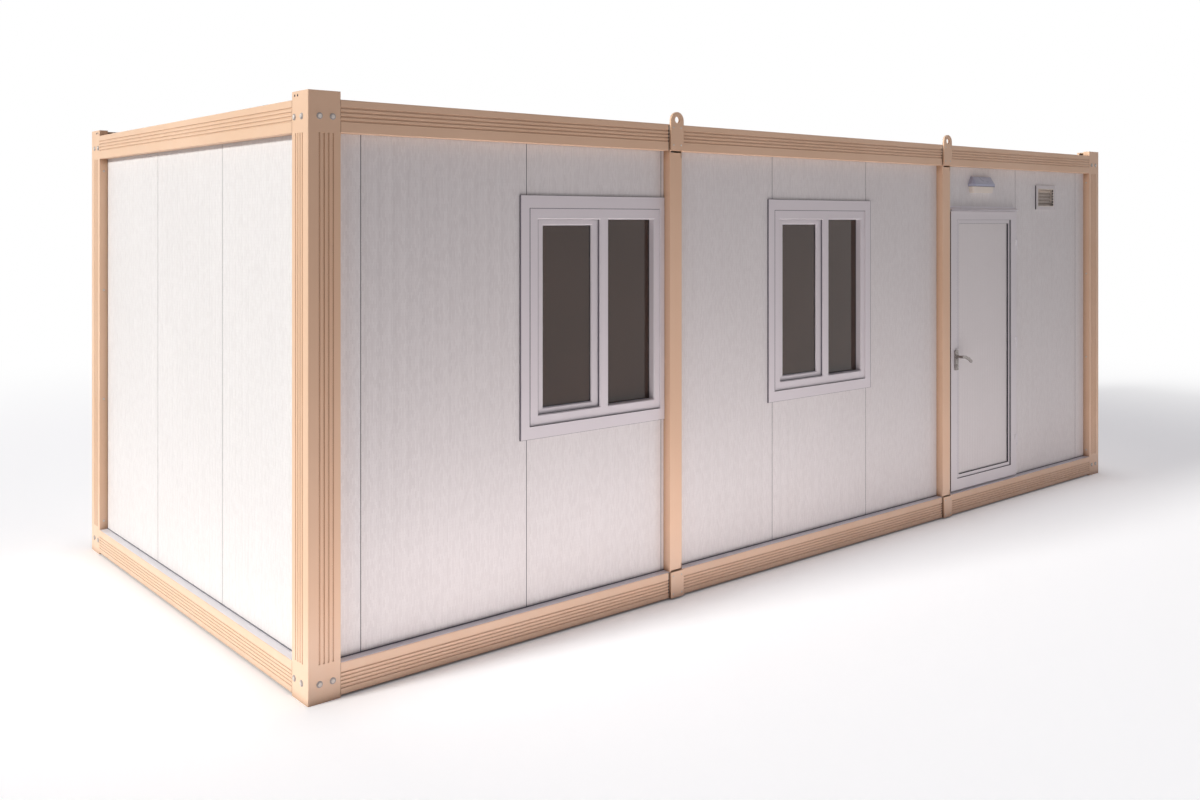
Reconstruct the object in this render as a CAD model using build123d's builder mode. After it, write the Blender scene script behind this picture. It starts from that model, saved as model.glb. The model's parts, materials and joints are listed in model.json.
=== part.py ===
"""Portable site cabin: a bolted frame of folded steel, closed by sandwich panels.

All sizes are in millimetres. The origin is the centre of the footprint on the ground, +X runs
along the cabin, -Y is the front with the door and the windows, and +Z is up.
"""
from math import atan2, degrees
import os

from build123d import *

# Overall size
length = 7000.0
width = 3000.0
height = 2620.0  # ground to the tops of the corner posts

# Folded steel frame
steel = 3.0  # wall of every folded section
bend = 4.0  # outer radius of a visible fold
wall_setback = 50.0  # outer plane of the frame to the face of the wall panels
post_leg = 155.0  # width of each outer face of a corner post
post_lip = 20.0  # turned-in edge that lies on the wall panel
end_plate = 6.0  # foot and head plates of a corner post
groove_depth = 4.0
groove_mouth = 9.0  # width of a pressed groove at the face
groove_floor = 4.5  # and at its bottom
groove_margin = 1.5  # metal beside a groove on the inner side
post_groove_start = 53.0  # corner edge to the first groove
post_groove_pitch = 21.5
post_groove_count = 4
post_groove_foot = 165.0  # plain length at the foot, where the rails are bolted
post_groove_head = 180.0  # and at the head

# Rails
bottom_rail_height = 140.0
ground_gap = 10.0  # ground to the underside of the bottom rails
bottom_groove_start = 32.0  # rail's lower edge to its first groove
bottom_groove_pitch = 16.5
bottom_groove_count = 5
top_rail_height = 144.0
top_rail_drop = 34.0  # post tops to the rail tops
top_groove_start = 52.5
top_groove_pitch = 18.5
top_groove_count = 4
long_flange = 100.0  # flange that carries or covers the wall panels
short_flange = 60.0

# Mid posts, lifting lugs and base plates
mid_post_inset = 65.5  # panel joint to the centre of the mid post on its inner side
mid_post_width = 92.0
mid_post_lip = 15.0
mid_slot_width = 74.0  # slots in the face, at its head and its foot
mid_head_slot = 10.0
mid_foot_slot = 7.0
mid_slit_width = 5.0  # slit along the right fold, from the end of each slot
mid_slit_height = 36.0
plate_width = 96.0
plate_thickness = 12.0
plate_inset = 5.0  # lug's lower edge above the rail's lower edge
lug_rise = 68.0  # lug's top above the rail top
lug_hole_radius = 18.5
lug_hole_below_top = 42.0
rail_seam = 8.0  # open joint between two lengths of rail

# Wall panels
panel_thickness = 50.0
module_count = 7  # equal panels on a long side, between two narrow ones
corner_panel = 240.5  # narrow panel at each end of a long side
front_shift = 12.5  # windows, their panels and the mid posts, to the left of the even pattern
panel_joint = 4.0
tongue_length = 12.0
tongue_thickness = 20.0
tongue_clearance = 1.0
sill_sheet = 1.5  # thickness of the flashing on the bottom rails
sill_edge_clearance = 3.0

# Floor and roof
deck_thickness = 22.0
deck_rise = 5.0  # deck above the bottom rail
channel_inset = 280.0  # end of the cabin to the first joist and the first purlin
joist_flange = 40.0
joist_count = 11
purlin_height = 80.0
purlin_flange = 40.0
purlin_count = 9
lining_clearance = 2.0  # deck and ceiling to the wall panels
ceiling_thickness = 10.0
roof_sheet_thickness = 2.0
roof_rib_height = 25.0
roof_rib_pitch = 333.0
roof_rib_top = 60.0
roof_rib_foot = 100.0
roof_edge_clearance = 5.0

# Windows
window_modules = (-2, 0)  # module numbers from the centre of the front
window_drop = 317.0  # top rail down to the upper edge of the visible frame
window_height = 1085.0
frame_lap = 10.0  # frame covered by the outer trim
frame_fit = 1.5  # frame to wall panel
frame_depth = 60.0
frame_left = 62.0  # visible stile left of the sliding light
frame_right = 38.0
frame_head = 57.0
frame_foot = 54.0
mullion_width = 60.0
mullion_offset = 50.0  # mullion's centre to the right of the window's centre
frame_bevel = 5.0
sash_setback = 15.0
sash_depth = 30.0
sash_rail = 30.0
sash_stile = 41.0
meeting_stile = 45.0
sash_gap = 0.3
glass_thickness = 6.0
glass_lap = 8.0  # glass held behind the edge of its opening
glass_setback = 12.0  # sash face to its glass
fixed_glass_setback = 40.0
trim_side = 52.0
trim_head = 63.0
trim_foot = 61.0
trim_thickness = 8.0
trim_post_gap = 1.0  # trim to the mid post that cuts it short

# Door
door_module = 2
door_drop = 309.0  # top rail down to the underside of the drip cap
jamb_width = 50.0
threshold_height = 20.0
leaf_inset = 21.5  # panel joint to the edge of the leaf
leaf_foot = 160.0
leaf_top_gap = 5.0
leaf_flange = 17.0  # outer face that laps the frame
leaf_body = 43.0  # part of the leaf inside the frame
leaf_face_gap = 5.0  # back of the flange to the frame
latch_side_gap = 8.0
hinge_side_gap = 6.0
head_gap = 6.0
leaf_stile = 80.0
leaf_top_rail = 61.0
bead_width = 26.0
bead_step = 6.0
bead_lip = 10.0
infill_thickness = 24.0
infill_lap = 10.0
cap_height = 20.0
cap_projection = 34.0
cap_sheet = 2.0
cap_side = 6.0  # cap wider than the leaf, each side
cap_upstand = 30.0
cap_lip = 4.0

# Hinges
hinge_above_foot = 260.0  # foot of the leaf to the middle of the lowest hinge
hinge_below_head = 248.0
barrel_radius = 7.0
pin_radius = 3.0
pin_clearance = 0.05
knuckle_length = 38.0
knuckle_gap = 0.4
hinge_plate = 2.5
hinge_leaf_reach = 34.0
hinge_foot_reach = 24.0
barrel_gap = 2.0  # leaf edge to the hinge barrel

# Door handle
handle_inset = 60.0  # leaf edge to the spindle
handle_height = 1105.0
plate_half_width = 19.0
plate_above = 45.0
plate_below = 97.0
handle_plate_thickness = 10.0
handle_plate_corner = 8.0
lever_reach = 105.0
lever_droop = 38.0
lever_standoff = 45.0  # plate face to the lever's centre line
neck_radius = 9.0
neck_gap = 0.3
arm_width = 20.0
arm_thickness = 11.0
spindle_radius = 5.0
spindle_clearance = 2.0
cylinder_drop = 62.0
cylinder_radius = 8.5
cylinder_tail = 20.0
cylinder_proud = 3.0

# Lamp over the door
lamp_offset = -35.0  # lamp's centre from the door's centre
lamp_drop = 64.0  # top rail down to the top of the lamp
lamp_length = 298.0
lamp_depth = 48.0
lamp_corner = 30.0
lamp_hood_rise = 54.0  # sloping part of the hood
lamp_hood_taper = 30.0
lamp_band = 15.0  # upright edge of the hood
lamp_diffuser_height = 48.0
lamp_diffuser_taper = 12.0
lamp_diffuser_inset = 9.0

# Vent
vent_module = 3
vent_offset = -20.0  # vent's centre from the middle of its panel
vent_drop = 110.0  # top rail down to the upper edge of the vent
vent_width = 288.0
vent_height = 186.0
vent_rim = 24.0
vent_proud = 8.0
vent_sleeve_clearance = 2.0
vent_sleeve_wall = 3.0
vent_blade_count = 5
vent_blade_thickness = 2.0
vent_blade_slope = 50.0
vent_blade_depth = 36.0

# Levels and planes that follow from the sizes above
front = -width / 2
left = -length / 2
rail_top = ground_gap + bottom_rail_height
head_rail_top = height - top_rail_drop
head_rail_foot = head_rail_top - top_rail_height
panel_face = front + wall_setback
panel_back = panel_face + panel_thickness
end_panel_face = left + wall_setback
end_panel_back = end_panel_face + panel_thickness
module = (length - 2 * wall_setback - 2 * corner_panel) / module_count
module_joints = [(index - module_count / 2) * module for index in range(module_count + 1)]
mid_post_reach = (door_module - 0.5) * module - mid_post_inset
mid_post_x = (-mid_post_reach - front_shift, mid_post_reach - front_shift)
deck_top = rail_top + deck_rise
joist_top = deck_top - deck_thickness
purlin_top = head_rail_foot + steel + purlin_height
long_side = Plane(origin=(0, panel_face, 0))
left_end = Plane(origin=(end_panel_face, 0, 0), x_dir=(0, -1, 0), z_dir=(0, 0, 1))
wall_end = -end_panel_face
window_sill = head_rail_foot - window_drop - window_height
door_head = head_rail_foot - door_drop
vent_level = head_rail_foot - vent_drop - vent_height / 2
vent_centre = vent_module * module + vent_offset

os.makedirs("parts", exist_ok=True)


def save(part, label):
    """Labels a finished piece and writes it to its own file."""
    part.label = label
    export_step(part, f"parts/{label}.step")


def facing(x, y, z):
    """Plane on a front-facing surface, with local X to the right, Y up and Z out of the wall."""
    return Plane(origin=(x, y, z), x_dir=(1, 0, 0), z_dir=(0, -1, 0))


def mirrored(part, about):
    """Returns the same piece for the opposite side of the cabin."""
    with BuildPart() as opposite:
        mirror(part, about=about)
    return opposite.part


# Frame: folded sections
def folded_strip(points, sheet=steel, radius=bend, rounded=slice(1, -1)):
    """Outline of a strip of sheet folded along the points, which run on its outer face."""
    with BuildSketch() as strip:
        with BuildLine():
            Polyline(*points)
            offset(amount=sheet, side=Side.RIGHT, kind=Kind.INTERSECTION)
        make_face()
        if radius > 0:
            folds = [strip.vertices().sort_by_distance((x, y))[0] for x, y in points[rounded]]
            fillet(folds, radius=radius)
    return strip.sketch


def press_grooves(levels):
    """Presses grooves into a web that stands on the sketch's Y axis, metal pushed inward."""
    half_mouth = groove_mouth / 2
    half_floor = groove_floor / 2
    groove = [(0, -half_mouth), (groove_depth, -half_floor), (groove_depth, half_floor), (0, half_mouth)]
    rib = [(depth, level + (groove_margin if level > 0 else -groove_margin)) for depth, level in groove]
    with Locations(*[(steel, level) for level in levels]):
        Polygon(*rib, align=None)
    with Locations(*[(0, level) for level in levels]):
        Polygon(*groove, align=None, mode=Mode.SUBTRACT)


def rail_section(plane, rail_height, lower_flange, upper_flange, levels):
    """The open C section of a rail, its web on the outer plane."""
    with BuildSketch(plane) as section:
        add(folded_strip([(lower_flange, 0), (0, 0), (0, rail_height), (upper_flange, rail_height)]))
        press_grooves(levels)
    return section.sketch


def spaced(start, pitch, count):
    return [start + pitch * index for index in range(count)]


def bottom_section(plane):
    levels = spaced(bottom_groove_start, bottom_groove_pitch, bottom_groove_count)
    return rail_section(plane, bottom_rail_height, short_flange, long_flange, levels)


def top_section(plane):
    levels = spaced(top_groove_start, top_groove_pitch, top_groove_count)
    return rail_section(plane, top_rail_height, long_flange, short_flange, levels)


def rail_lengths():
    """Start and end of each length of rail between two posts on a long side."""
    starts = [left + post_leg] + [x - plate_width / 2 for x in mid_post_x]
    ends = [x - plate_width / 2 - rail_seam for x in mid_post_x] + [-left - post_leg]
    return list(zip(starts, ends))


def long_rail(section, level):
    with BuildPart() as rail:
        for start, end in rail_lengths():
            profile = section(Plane(origin=(start, front, level), x_dir=(0, 1, 0), z_dir=(1, 0, 0)))
            extrude(profile, amount=end - start)
    return rail.part


def end_rail(section, level):
    reach = width - 2 * post_leg
    with BuildPart() as rail:
        profile = section(Plane(origin=(left, reach / 2, level), x_dir=(1, 0, 0), z_dir=(0, -1, 0)))
        extrude(profile, amount=reach)
    return rail.part


def post_grooves(face):
    """Presses the upright grooves into one face of a corner post."""
    run = height - post_groove_foot - post_groove_head
    middle = post_groove_start + post_groove_pitch * (post_groove_count - 1) / 2
    slope = degrees(atan2((groove_mouth - groove_floor) / 2, groove_depth))
    with BuildSketch(face.offset(steel)) as ribs:
        with Locations((middle, 0)):
            with GridLocations(post_groove_pitch, 1, post_groove_count, 1):
                Rectangle(groove_mouth + 2 * groove_margin, run + 2 * groove_margin)
    extrude(ribs.sketch, amount=groove_depth, taper=slope)
    with BuildSketch(face) as mouths:
        with Locations((middle, 0)):
            with GridLocations(post_groove_pitch, 1, post_groove_count, 1):
                Rectangle(groove_mouth, run)
    extrude(mouths.sketch, amount=groove_depth, taper=slope, mode=Mode.SUBTRACT)


def corner_post():
    """L-shaped post at the front left corner, with grooved faces and welded end plates."""
    lip_edge = post_leg - post_lip
    spine = [
        (lip_edge, wall_setback),
        (post_leg, wall_setback),
        (post_leg, 0),
        (0, 0),
        (0, post_leg),
        (wall_setback, post_leg),
        (wall_setback, lip_edge),
    ]
    near = steel
    back = wall_setback - steel
    far = post_leg - steel
    plate = [(near, near), (far, near), (far, back), (back, back), (back, far), (near, far)]
    foot = Plane(origin=(left, front, 0))
    groove_middle = (post_groove_foot + height - post_groove_head) / 2
    with BuildPart() as post:
        with BuildSketch(foot):
            add(folded_strip(spine, rounded=slice(2, 5)))
        extrude(amount=height)
        with BuildSketch(foot, foot.offset(height - end_plate)):
            Polygon(*plate, align=None)
        extrude(amount=end_plate)
        post_grooves(Plane(origin=(left, front, groove_middle), x_dir=(1, 0, 0), z_dir=(0, 1, 0)))
        post_grooves(Plane(origin=(left, front, groove_middle), x_dir=(0, 1, 0), z_dir=(1, 0, 0)))
    return post.part


def mid_posts():
    """Two channels on the long side, with a slot and a slit at both ends of the face."""
    half = mid_post_width / 2
    spine = [
        (half - mid_post_lip, wall_setback),
        (half, wall_setback),
        (half, 0),
        (-half, 0),
        (-half, wall_setback),
        (mid_post_lip - half, wall_setback),
    ]
    slit = (mid_slot_width + mid_slit_width) / 2
    with BuildPart() as posts:
        for x in mid_post_x:
            with BuildSketch(Plane(origin=(x, front, rail_top))):
                add(folded_strip(spine, rounded=slice(2, 4)))
            extrude(amount=head_rail_foot - rail_top)
            with BuildSketch(facing(x, front, head_rail_foot)):
                with Locations((0, -mid_head_slot / 2)):
                    Rectangle(mid_slot_width, mid_head_slot)
                with Locations((slit, -mid_slit_height / 2)):
                    Rectangle(mid_slit_width, mid_slit_height)
            with BuildSketch(facing(x, front, rail_top)):
                with Locations((0, mid_foot_slot / 2)):
                    Rectangle(mid_slot_width, mid_foot_slot)
                with Locations((slit, mid_slit_height / 2)):
                    Rectangle(mid_slit_width, mid_slit_height)
            extrude(amount=-steel, mode=Mode.SUBTRACT)
    return posts.part


def lifting_lugs():
    """Upright plates on the top rail, rounded over the hole that takes a lifting shackle."""
    lug_foot = head_rail_foot + plate_inset
    lug_top = head_rail_top + lug_rise
    radius = plate_width / 2
    with BuildPart() as lugs:
        for x in mid_post_x:
            with BuildSketch(facing(x, front, 0)):
                with BuildLine():
                    Line((-radius, lug_foot), (radius, lug_foot))
                    Line((radius, lug_foot), (radius, lug_top - radius))
                    RadiusArc((radius, lug_top - radius), (-radius, lug_top - radius), -radius)
                    Line((-radius, lug_top - radius), (-radius, lug_foot))
                make_face()
                with Locations((0, lug_top - lug_hole_below_top)):
                    Circle(lug_hole_radius, mode=Mode.SUBTRACT)
            extrude(amount=plate_thickness)
    return lugs.part


def base_plates():
    """Plates that cover the rail joints under the mid posts."""
    with BuildPart() as plates:
        middle = ground_gap + bottom_rail_height / 2
        with BuildSketch(facing(0, front, middle)):
            with Locations(*[(x, 0) for x in mid_post_x]):
                Rectangle(plate_width, bottom_rail_height)
        extrude(amount=plate_thickness)
        mirror(about=Plane.XZ)
    return plates.part


# Floor and roof
def channel_row(count, foot, channel_height, flange):
    """Channels that span the cabin on the flanges of the long rails, between the pressed webs."""
    reach = width - 2 * (steel + groove_depth)
    pitch = (length - 2 * channel_inset - flange) / (count - 1)
    spine = [(flange, 0), (0, 0), (0, channel_height), (flange, channel_height)]
    with BuildPart() as channels:
        for x in spaced(left + channel_inset, pitch, count):
            with BuildSketch(facing(x, reach / 2, foot)):
                add(folded_strip(spine, radius=0))
            extrude(amount=reach)
    return channels.part


def floor_joists():
    foot = ground_gap + steel
    return channel_row(joist_count, foot, joist_top - foot, joist_flange)


def roof_purlins():
    return channel_row(purlin_count, head_rail_foot + steel, purlin_height, purlin_flange)


def room_board(foot, thickness):
    """A board that fills the cabin from wall to wall, such as the deck or the ceiling."""
    clear = 2 * lining_clearance
    with BuildPart() as board:
        with BuildSketch(Plane.XY.offset(foot)):
            Rectangle(2 * -end_panel_back - clear, 2 * -panel_back - clear)
        extrude(amount=thickness)
    return board.part


def roof_sheet():
    """Trapezoidal sheet inside the ring of top rails, its ribs along the cabin."""
    inset = wall_setback + roof_edge_clearance
    reach = width - 2 * inset
    rib_count = int(reach // roof_rib_pitch)
    first = -roof_rib_pitch * (rib_count - 1) / 2
    outline = [(-reach / 2, 0)]
    for middle in spaced(first, roof_rib_pitch, rib_count):
        outline += [(middle - roof_rib_foot / 2, 0), (middle - roof_rib_top / 2, roof_rib_height)]
        outline += [(middle + roof_rib_top / 2, roof_rib_height), (middle + roof_rib_foot / 2, 0)]
    outline += [(reach / 2, 0)]
    face = [(y, z + roof_sheet_thickness) for y, z in reversed(outline)]
    with BuildPart() as sheet:
        with BuildSketch(Plane(origin=(left + inset, 0, purlin_top), x_dir=(0, 1, 0), z_dir=(1, 0, 0))):
            Polygon(*outline, *face, align=None)
        extrude(amount=length - 2 * inset)
    return sheet.part


def sill_flashings():
    """White strips that cover the rail ledges between the posts."""
    ledge = wall_setback - sill_edge_clearance
    reach = width - 2 * post_leg
    with BuildPart() as strips:
        with BuildSketch(Plane.XY.offset(rail_top)):
            mids = [x - mid_post_width / 2 for x in mid_post_x]
            starts = [left + post_leg] + [x + mid_post_width for x in mids]
            for start, end in zip(starts, mids + [-left - post_leg]):
                with Locations(((start + end) / 2, panel_face - ledge / 2)):
                    Rectangle(end - start, ledge)
            mirror(about=Plane.XZ)
            with Locations((end_panel_face - ledge / 2, 0), (ledge / 2 - end_panel_face, 0)):
                Rectangle(ledge, reach)
        extrude(amount=sill_sheet)
    return strips.part


# Walls
def box_hole(plane, near, far, low, high, depth):
    """Cuts a rectangular hole inward from the plane."""
    with BuildSketch(plane) as mouth:
        with Locations(((near + far) / 2, (low + high) / 2)):
            Rectangle(far - near, high - low)
    extrude(mouth.sketch, amount=-depth, mode=Mode.SUBTRACT)


def panel_row(wall, joints, foot, head):
    """Sandwich panels side by side, joined by tongue and groove, in the wall's own plane."""
    middle = panel_thickness / 2
    last = len(joints) - 2
    groove_run = tongue_length + tongue_clearance
    with BuildSketch(wall.offset(foot)) as outline:
        for index, (start, end) in enumerate(zip(joints, joints[1:])):
            near = start + (panel_joint / 2 if index > 0 else 0)
            far = end - (panel_joint / 2 if index < last else 0)
            with Locations(((near + far) / 2, middle)):
                Rectangle(far - near, panel_thickness)
            if index > 0:
                with Locations((near + groove_run / 2, middle)):
                    Rectangle(groove_run, tongue_thickness + 2 * tongue_clearance, mode=Mode.SUBTRACT)
            if index < last:
                with Locations((far + tongue_length / 2, middle)):
                    Rectangle(tongue_length, tongue_thickness)
    extrude(outline.sketch, amount=head - foot)


def module_centre(number):
    """Centre of a module of the front; those left of the door sit a little further left."""
    return number * module - (front_shift if number < door_module else 0)


def module_edges(number, gap):
    """Both sides of a module, each moved outward by the gap, or inward by a negative one."""
    return module_centre(number) - module / 2 - gap, module_centre(number) + module / 2 + gap


def opening_edges(number):
    """Panel edges on both sides of a module that holds a window or the door."""
    return module_edges(number, panel_joint / 2)


def front_wall():
    """Full-height panels of the front, apart from the one with the vent."""
    first_window, second_window = [opening_edges(number) for number in window_modules]
    door_start, door_end = opening_edges(door_module)
    with BuildPart() as panels:
        first_joint = module_joints[0] - front_shift
        panel_row(long_side, [-wall_end, first_joint, first_window[0]], rail_top, head_rail_foot)
        panel_row(long_side, [first_window[1], second_window[0]], rail_top, head_rail_foot)
        panel_row(long_side, [second_window[1], door_start], rail_top, head_rail_foot)
    return panels.part


def vent_wall():
    """Panels right of the door, with the hole for the vent."""
    start = opening_edges(door_module)[1]
    half_width = vent_width / 2 - vent_rim
    half_height = vent_height / 2 - vent_rim
    face = facing(vent_centre, panel_face, vent_level)
    with BuildPart() as panels:
        panel_row(long_side, [start, module_joints[-1], wall_end], rail_top, head_rail_foot)
        box_hole(face, -half_width, half_width, -half_height, half_height, panel_thickness)
    return panels.part


def window_wall():
    """Panels under and over each window."""
    with BuildPart() as panels:
        for number in window_modules:
            edges = module_edges(number, -panel_joint / 2)
            panel_row(long_side, edges, rail_top, window_sill - frame_lap)
            panel_row(long_side, edges, window_sill + window_height + frame_lap, head_rail_foot)
    return panels.part


def door_wall():
    """Panel over the door."""
    with BuildPart() as panel:
        edges = module_edges(door_module, -panel_joint / 2)
        panel_row(long_side, edges, door_head + frame_fit, head_rail_foot)
    return panel.part


def rear_wall():
    with BuildPart() as panels:
        panel_row(long_side, [-wall_end] + module_joints + [wall_end], rail_top, head_rail_foot)
        mirror(about=Plane.XZ, mode=Mode.REPLACE)
    return panels.part


def end_wall():
    with BuildPart() as panels:
        panel_row(left_end, [panel_back, -module / 2, module / 2, -panel_back], rail_top, head_rail_foot)
    return panels.part


# Windows
def mouth_edges(builder):
    """Edges round the openings in the front faces."""
    front_faces = builder.faces().filter_by(Axis.Y).group_by(Axis.Y)[0]
    return [edge for face in front_faces for wire in face.inner_wires() for edge in wire.edges()]


def window_size():
    """Width of the visible window frame."""
    return module - panel_joint - 2 * frame_fit - 2 * frame_lap


def light_edges():
    """Edges of the frame's two lights, from the window's centre."""
    half = window_size() / 2
    sliding = (frame_left - half, mullion_offset - mullion_width / 2)
    fixed = (mullion_offset + mullion_width / 2, half - frame_right)
    return sliding, fixed


def window_levels():
    """Lower and upper edge of both lights."""
    return window_sill + frame_foot, window_sill + window_height - frame_head


def window_frames():
    """Outer frames with a sliding light on the left and a fixed light on the right."""
    low, high = window_levels()
    sliding, fixed = light_edges()
    middle = window_sill + window_height / 2
    with BuildPart() as frames:
        for number in window_modules:
            face = facing(module_centre(number), panel_face, 0)
            with BuildSketch(face):
                with Locations((0, middle)):
                    Rectangle(window_size() + 2 * frame_lap, window_height + 2 * frame_lap)
            extrude(amount=-frame_depth)
            box_hole(face, *sliding, low, high, frame_depth)
            box_hole(face, *fixed, low, high, fixed_glass_setback)
            rebate = face.offset(-fixed_glass_setback)
            rebate_depth = frame_depth - fixed_glass_setback
            box_hole(
                rebate,
                fixed[0] - glass_lap,
                fixed[1] + glass_lap,
                low - glass_lap,
                high + glass_lap,
                rebate_depth,
            )
        chamfer(mouth_edges(frames), length=frame_bevel)
    return frames.part


def window_sashes():
    """Sliding sashes, set back in the left light of each window."""
    low, high = window_levels()
    (near, far), _ = light_edges()
    inner_far = far - meeting_stile
    with BuildPart() as sashes:
        for number in window_modules:
            face = facing(module_centre(number), panel_face + sash_setback, 0)
            with BuildSketch(face):
                with Locations(((near + far) / 2, (low + high) / 2)):
                    Rectangle(far - near - 2 * sash_gap, high - low - 2 * sash_gap)
            extrude(amount=-sash_depth)
            box_hole(face, near + sash_stile, inner_far, low + sash_rail, high - sash_rail, glass_setback)
            box_hole(
                face.offset(-glass_setback),
                near + sash_stile - glass_lap,
                inner_far + glass_lap,
                low + sash_rail - glass_lap,
                high - sash_rail + glass_lap,
                sash_depth - glass_setback,
            )
        chamfer(mouth_edges(sashes), length=frame_bevel)
    return sashes.part


def glass_pane(face, near, far, low, high):
    with BuildSketch(face) as pane:
        with Locations(((near + far) / 2, (low + high) / 2)):
            Rectangle(far - near + 2 * glass_lap, high - low + 2 * glass_lap)
    extrude(pane.sketch, amount=-glass_thickness)


def window_glass():
    """Tinted panes, each seated against the shoulder behind its opening."""
    low, high = window_levels()
    (near, far), fixed = light_edges()
    with BuildPart() as panes:
        for number in window_modules:
            face = facing(module_centre(number), panel_face, 0)
            sash_face = face.offset(-sash_setback - glass_setback)
            glass_pane(sash_face, near + sash_stile, far - meeting_stile, low + sash_rail, high - sash_rail)
            glass_pane(face.offset(-fixed_glass_setback), *fixed, low, high)
    return panes.part


def window_trims():
    """Flat strips round each window; a mid post cuts the first one short."""
    half = window_size() / 2
    post_edge = mid_post_x[0] - mid_post_width / 2 - trim_post_gap
    with BuildPart() as trims:
        for number in window_modules:
            centre = module_centre(number)
            start = centre - half - trim_side
            end = centre + half + trim_side
            if start < post_edge < end:
                end = post_edge
            face = facing(0, panel_face, 0)
            low = window_sill - trim_foot
            high = window_sill + window_height + trim_head
            with BuildSketch(face):
                with Locations(((start + end) / 2, (low + high) / 2)):
                    Rectangle(end - start, high - low)
                with Locations((centre, window_sill + window_height / 2)):
                    Rectangle(2 * half, window_height, mode=Mode.SUBTRACT)
            extrude(amount=trim_thickness)
    return trims.part


# Door
door_centre = door_module * module
leaf_width = module - 2 * leaf_inset
frame_half = module / 2 - panel_joint / 2 - frame_fit
opening_half = frame_half - jamb_width
leaf_left = door_centre - leaf_width / 2
leaf_right = door_centre + leaf_width / 2
leaf_head = door_head - leaf_top_gap
leaf_back_plane = panel_face - leaf_face_gap
leaf_face = leaf_back_plane - leaf_flange
body_left = door_centre - opening_half + latch_side_gap
body_right = door_centre + opening_half - hinge_side_gap
body_foot = rail_top + threshold_height + head_gap
body_head = door_head - jamb_width - head_gap
leaf_inside = leaf_back_plane + leaf_body
infill_left = leaf_left + leaf_stile + bead_width
infill_right = leaf_right - leaf_stile - bead_width
infill_foot = leaf_foot + leaf_stile + bead_width
infill_head = leaf_head - leaf_top_rail - bead_width
infill_face = leaf_face + bead_step + bead_lip
spindle_x = leaf_left + handle_inset


def door_frame():
    """Jambs, head and threshold, seated between the wall panels."""
    face = facing(door_centre, panel_face, 0)
    low = rail_top + threshold_height
    high = door_head - jamb_width
    with BuildPart() as frame:
        with BuildSketch(face):
            with Locations((0, (rail_top + door_head) / 2)):
                Rectangle(2 * frame_half, door_head - rail_top)
        extrude(amount=-panel_thickness)
        box_hole(face, -opening_half, opening_half, low, high, panel_thickness)
    return frame.part


def door_leaf():
    """Leaf with a flange that laps the frame, a stepped bead and a rebate for the infill."""
    face = facing(0, leaf_face, 0)
    with BuildPart() as leaf:
        with BuildSketch(face):
            with Locations((door_centre, (leaf_foot + leaf_head) / 2)):
                Rectangle(leaf_width, leaf_head - leaf_foot)
        extrude(amount=-leaf_flange)
        with BuildSketch(face.offset(-leaf_flange)):
            with Locations(((body_left + body_right) / 2, (body_foot + body_head) / 2)):
                Rectangle(body_right - body_left, body_head - body_foot)
        extrude(amount=-leaf_body)
        box_hole(
            face,
            infill_left - bead_width,
            infill_right + bead_width,
            infill_foot - bead_width,
            infill_head + bead_width,
            bead_step,
        )
        box_hole(face, infill_left, infill_right, infill_foot, infill_head, bead_step + bead_lip)
        box_hole(
            face.offset(-bead_step - bead_lip),
            infill_left - infill_lap,
            infill_right + infill_lap,
            infill_foot - infill_lap,
            infill_head + infill_lap,
            leaf_inside - infill_face,
        )
        with BuildSketch(face):
            with Locations((spindle_x, handle_height), (spindle_x, handle_height - cylinder_drop)):
                Circle(spindle_radius + spindle_clearance)
        extrude(amount=-leaf_flange - leaf_body, mode=Mode.SUBTRACT)
    return leaf.part


def door_infill():
    with BuildPart() as infill:
        with BuildSketch(facing(0, infill_face, 0)):
            with Locations(((infill_left + infill_right) / 2, (infill_foot + infill_head) / 2)):
                Rectangle(
                    infill_right - infill_left + 2 * infill_lap,
                    infill_head - infill_foot + 2 * infill_lap,
                )
        extrude(amount=-infill_thickness)
    return infill.part


def drip_cap():
    """Folded strip that sheds rain over the door."""
    start = leaf_left - cap_side
    cap = [
        (cap_projection, door_head),
        (cap_projection, door_head + cap_lip),
        (0, door_head + cap_height),
        (0, door_head + cap_upstand),
    ]
    with BuildPart() as strip:
        with BuildSketch(Plane(origin=(start, panel_face, 0), x_dir=(0, -1, 0), z_dir=(-1, 0, 0))):
            add(folded_strip(cap, sheet=cap_sheet, radius=cap_sheet / 2))
        extrude(amount=-(leaf_width + 2 * cap_side))
    return strip.part


hinge_x = leaf_right + barrel_gap + barrel_radius
hinge_y = leaf_face - hinge_plate + barrel_radius
lowest_hinge = leaf_foot + hinge_above_foot
highest_hinge = leaf_head - hinge_below_head
hinge_heights = (lowest_hinge, (lowest_hinge + highest_hinge) / 2, highest_hinge)


def hinge_leaf_halves():
    """Upper knuckles, each on a plate that lies on the face of the leaf."""
    with BuildPart() as halves:
        for level in hinge_heights:
            with BuildSketch(Plane.XY.offset(level + knuckle_gap / 2)):
                with Locations((hinge_x, hinge_y)):
                    Circle(barrel_radius)
                with Locations((hinge_x, hinge_y - barrel_radius)):
                    Rectangle(hinge_leaf_reach, hinge_plate, align=(Align.MAX, Align.MIN))
                with Locations((hinge_x, hinge_y)):
                    Circle(pin_radius + pin_clearance, mode=Mode.SUBTRACT)
            extrude(amount=knuckle_length)
    return halves.part


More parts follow.
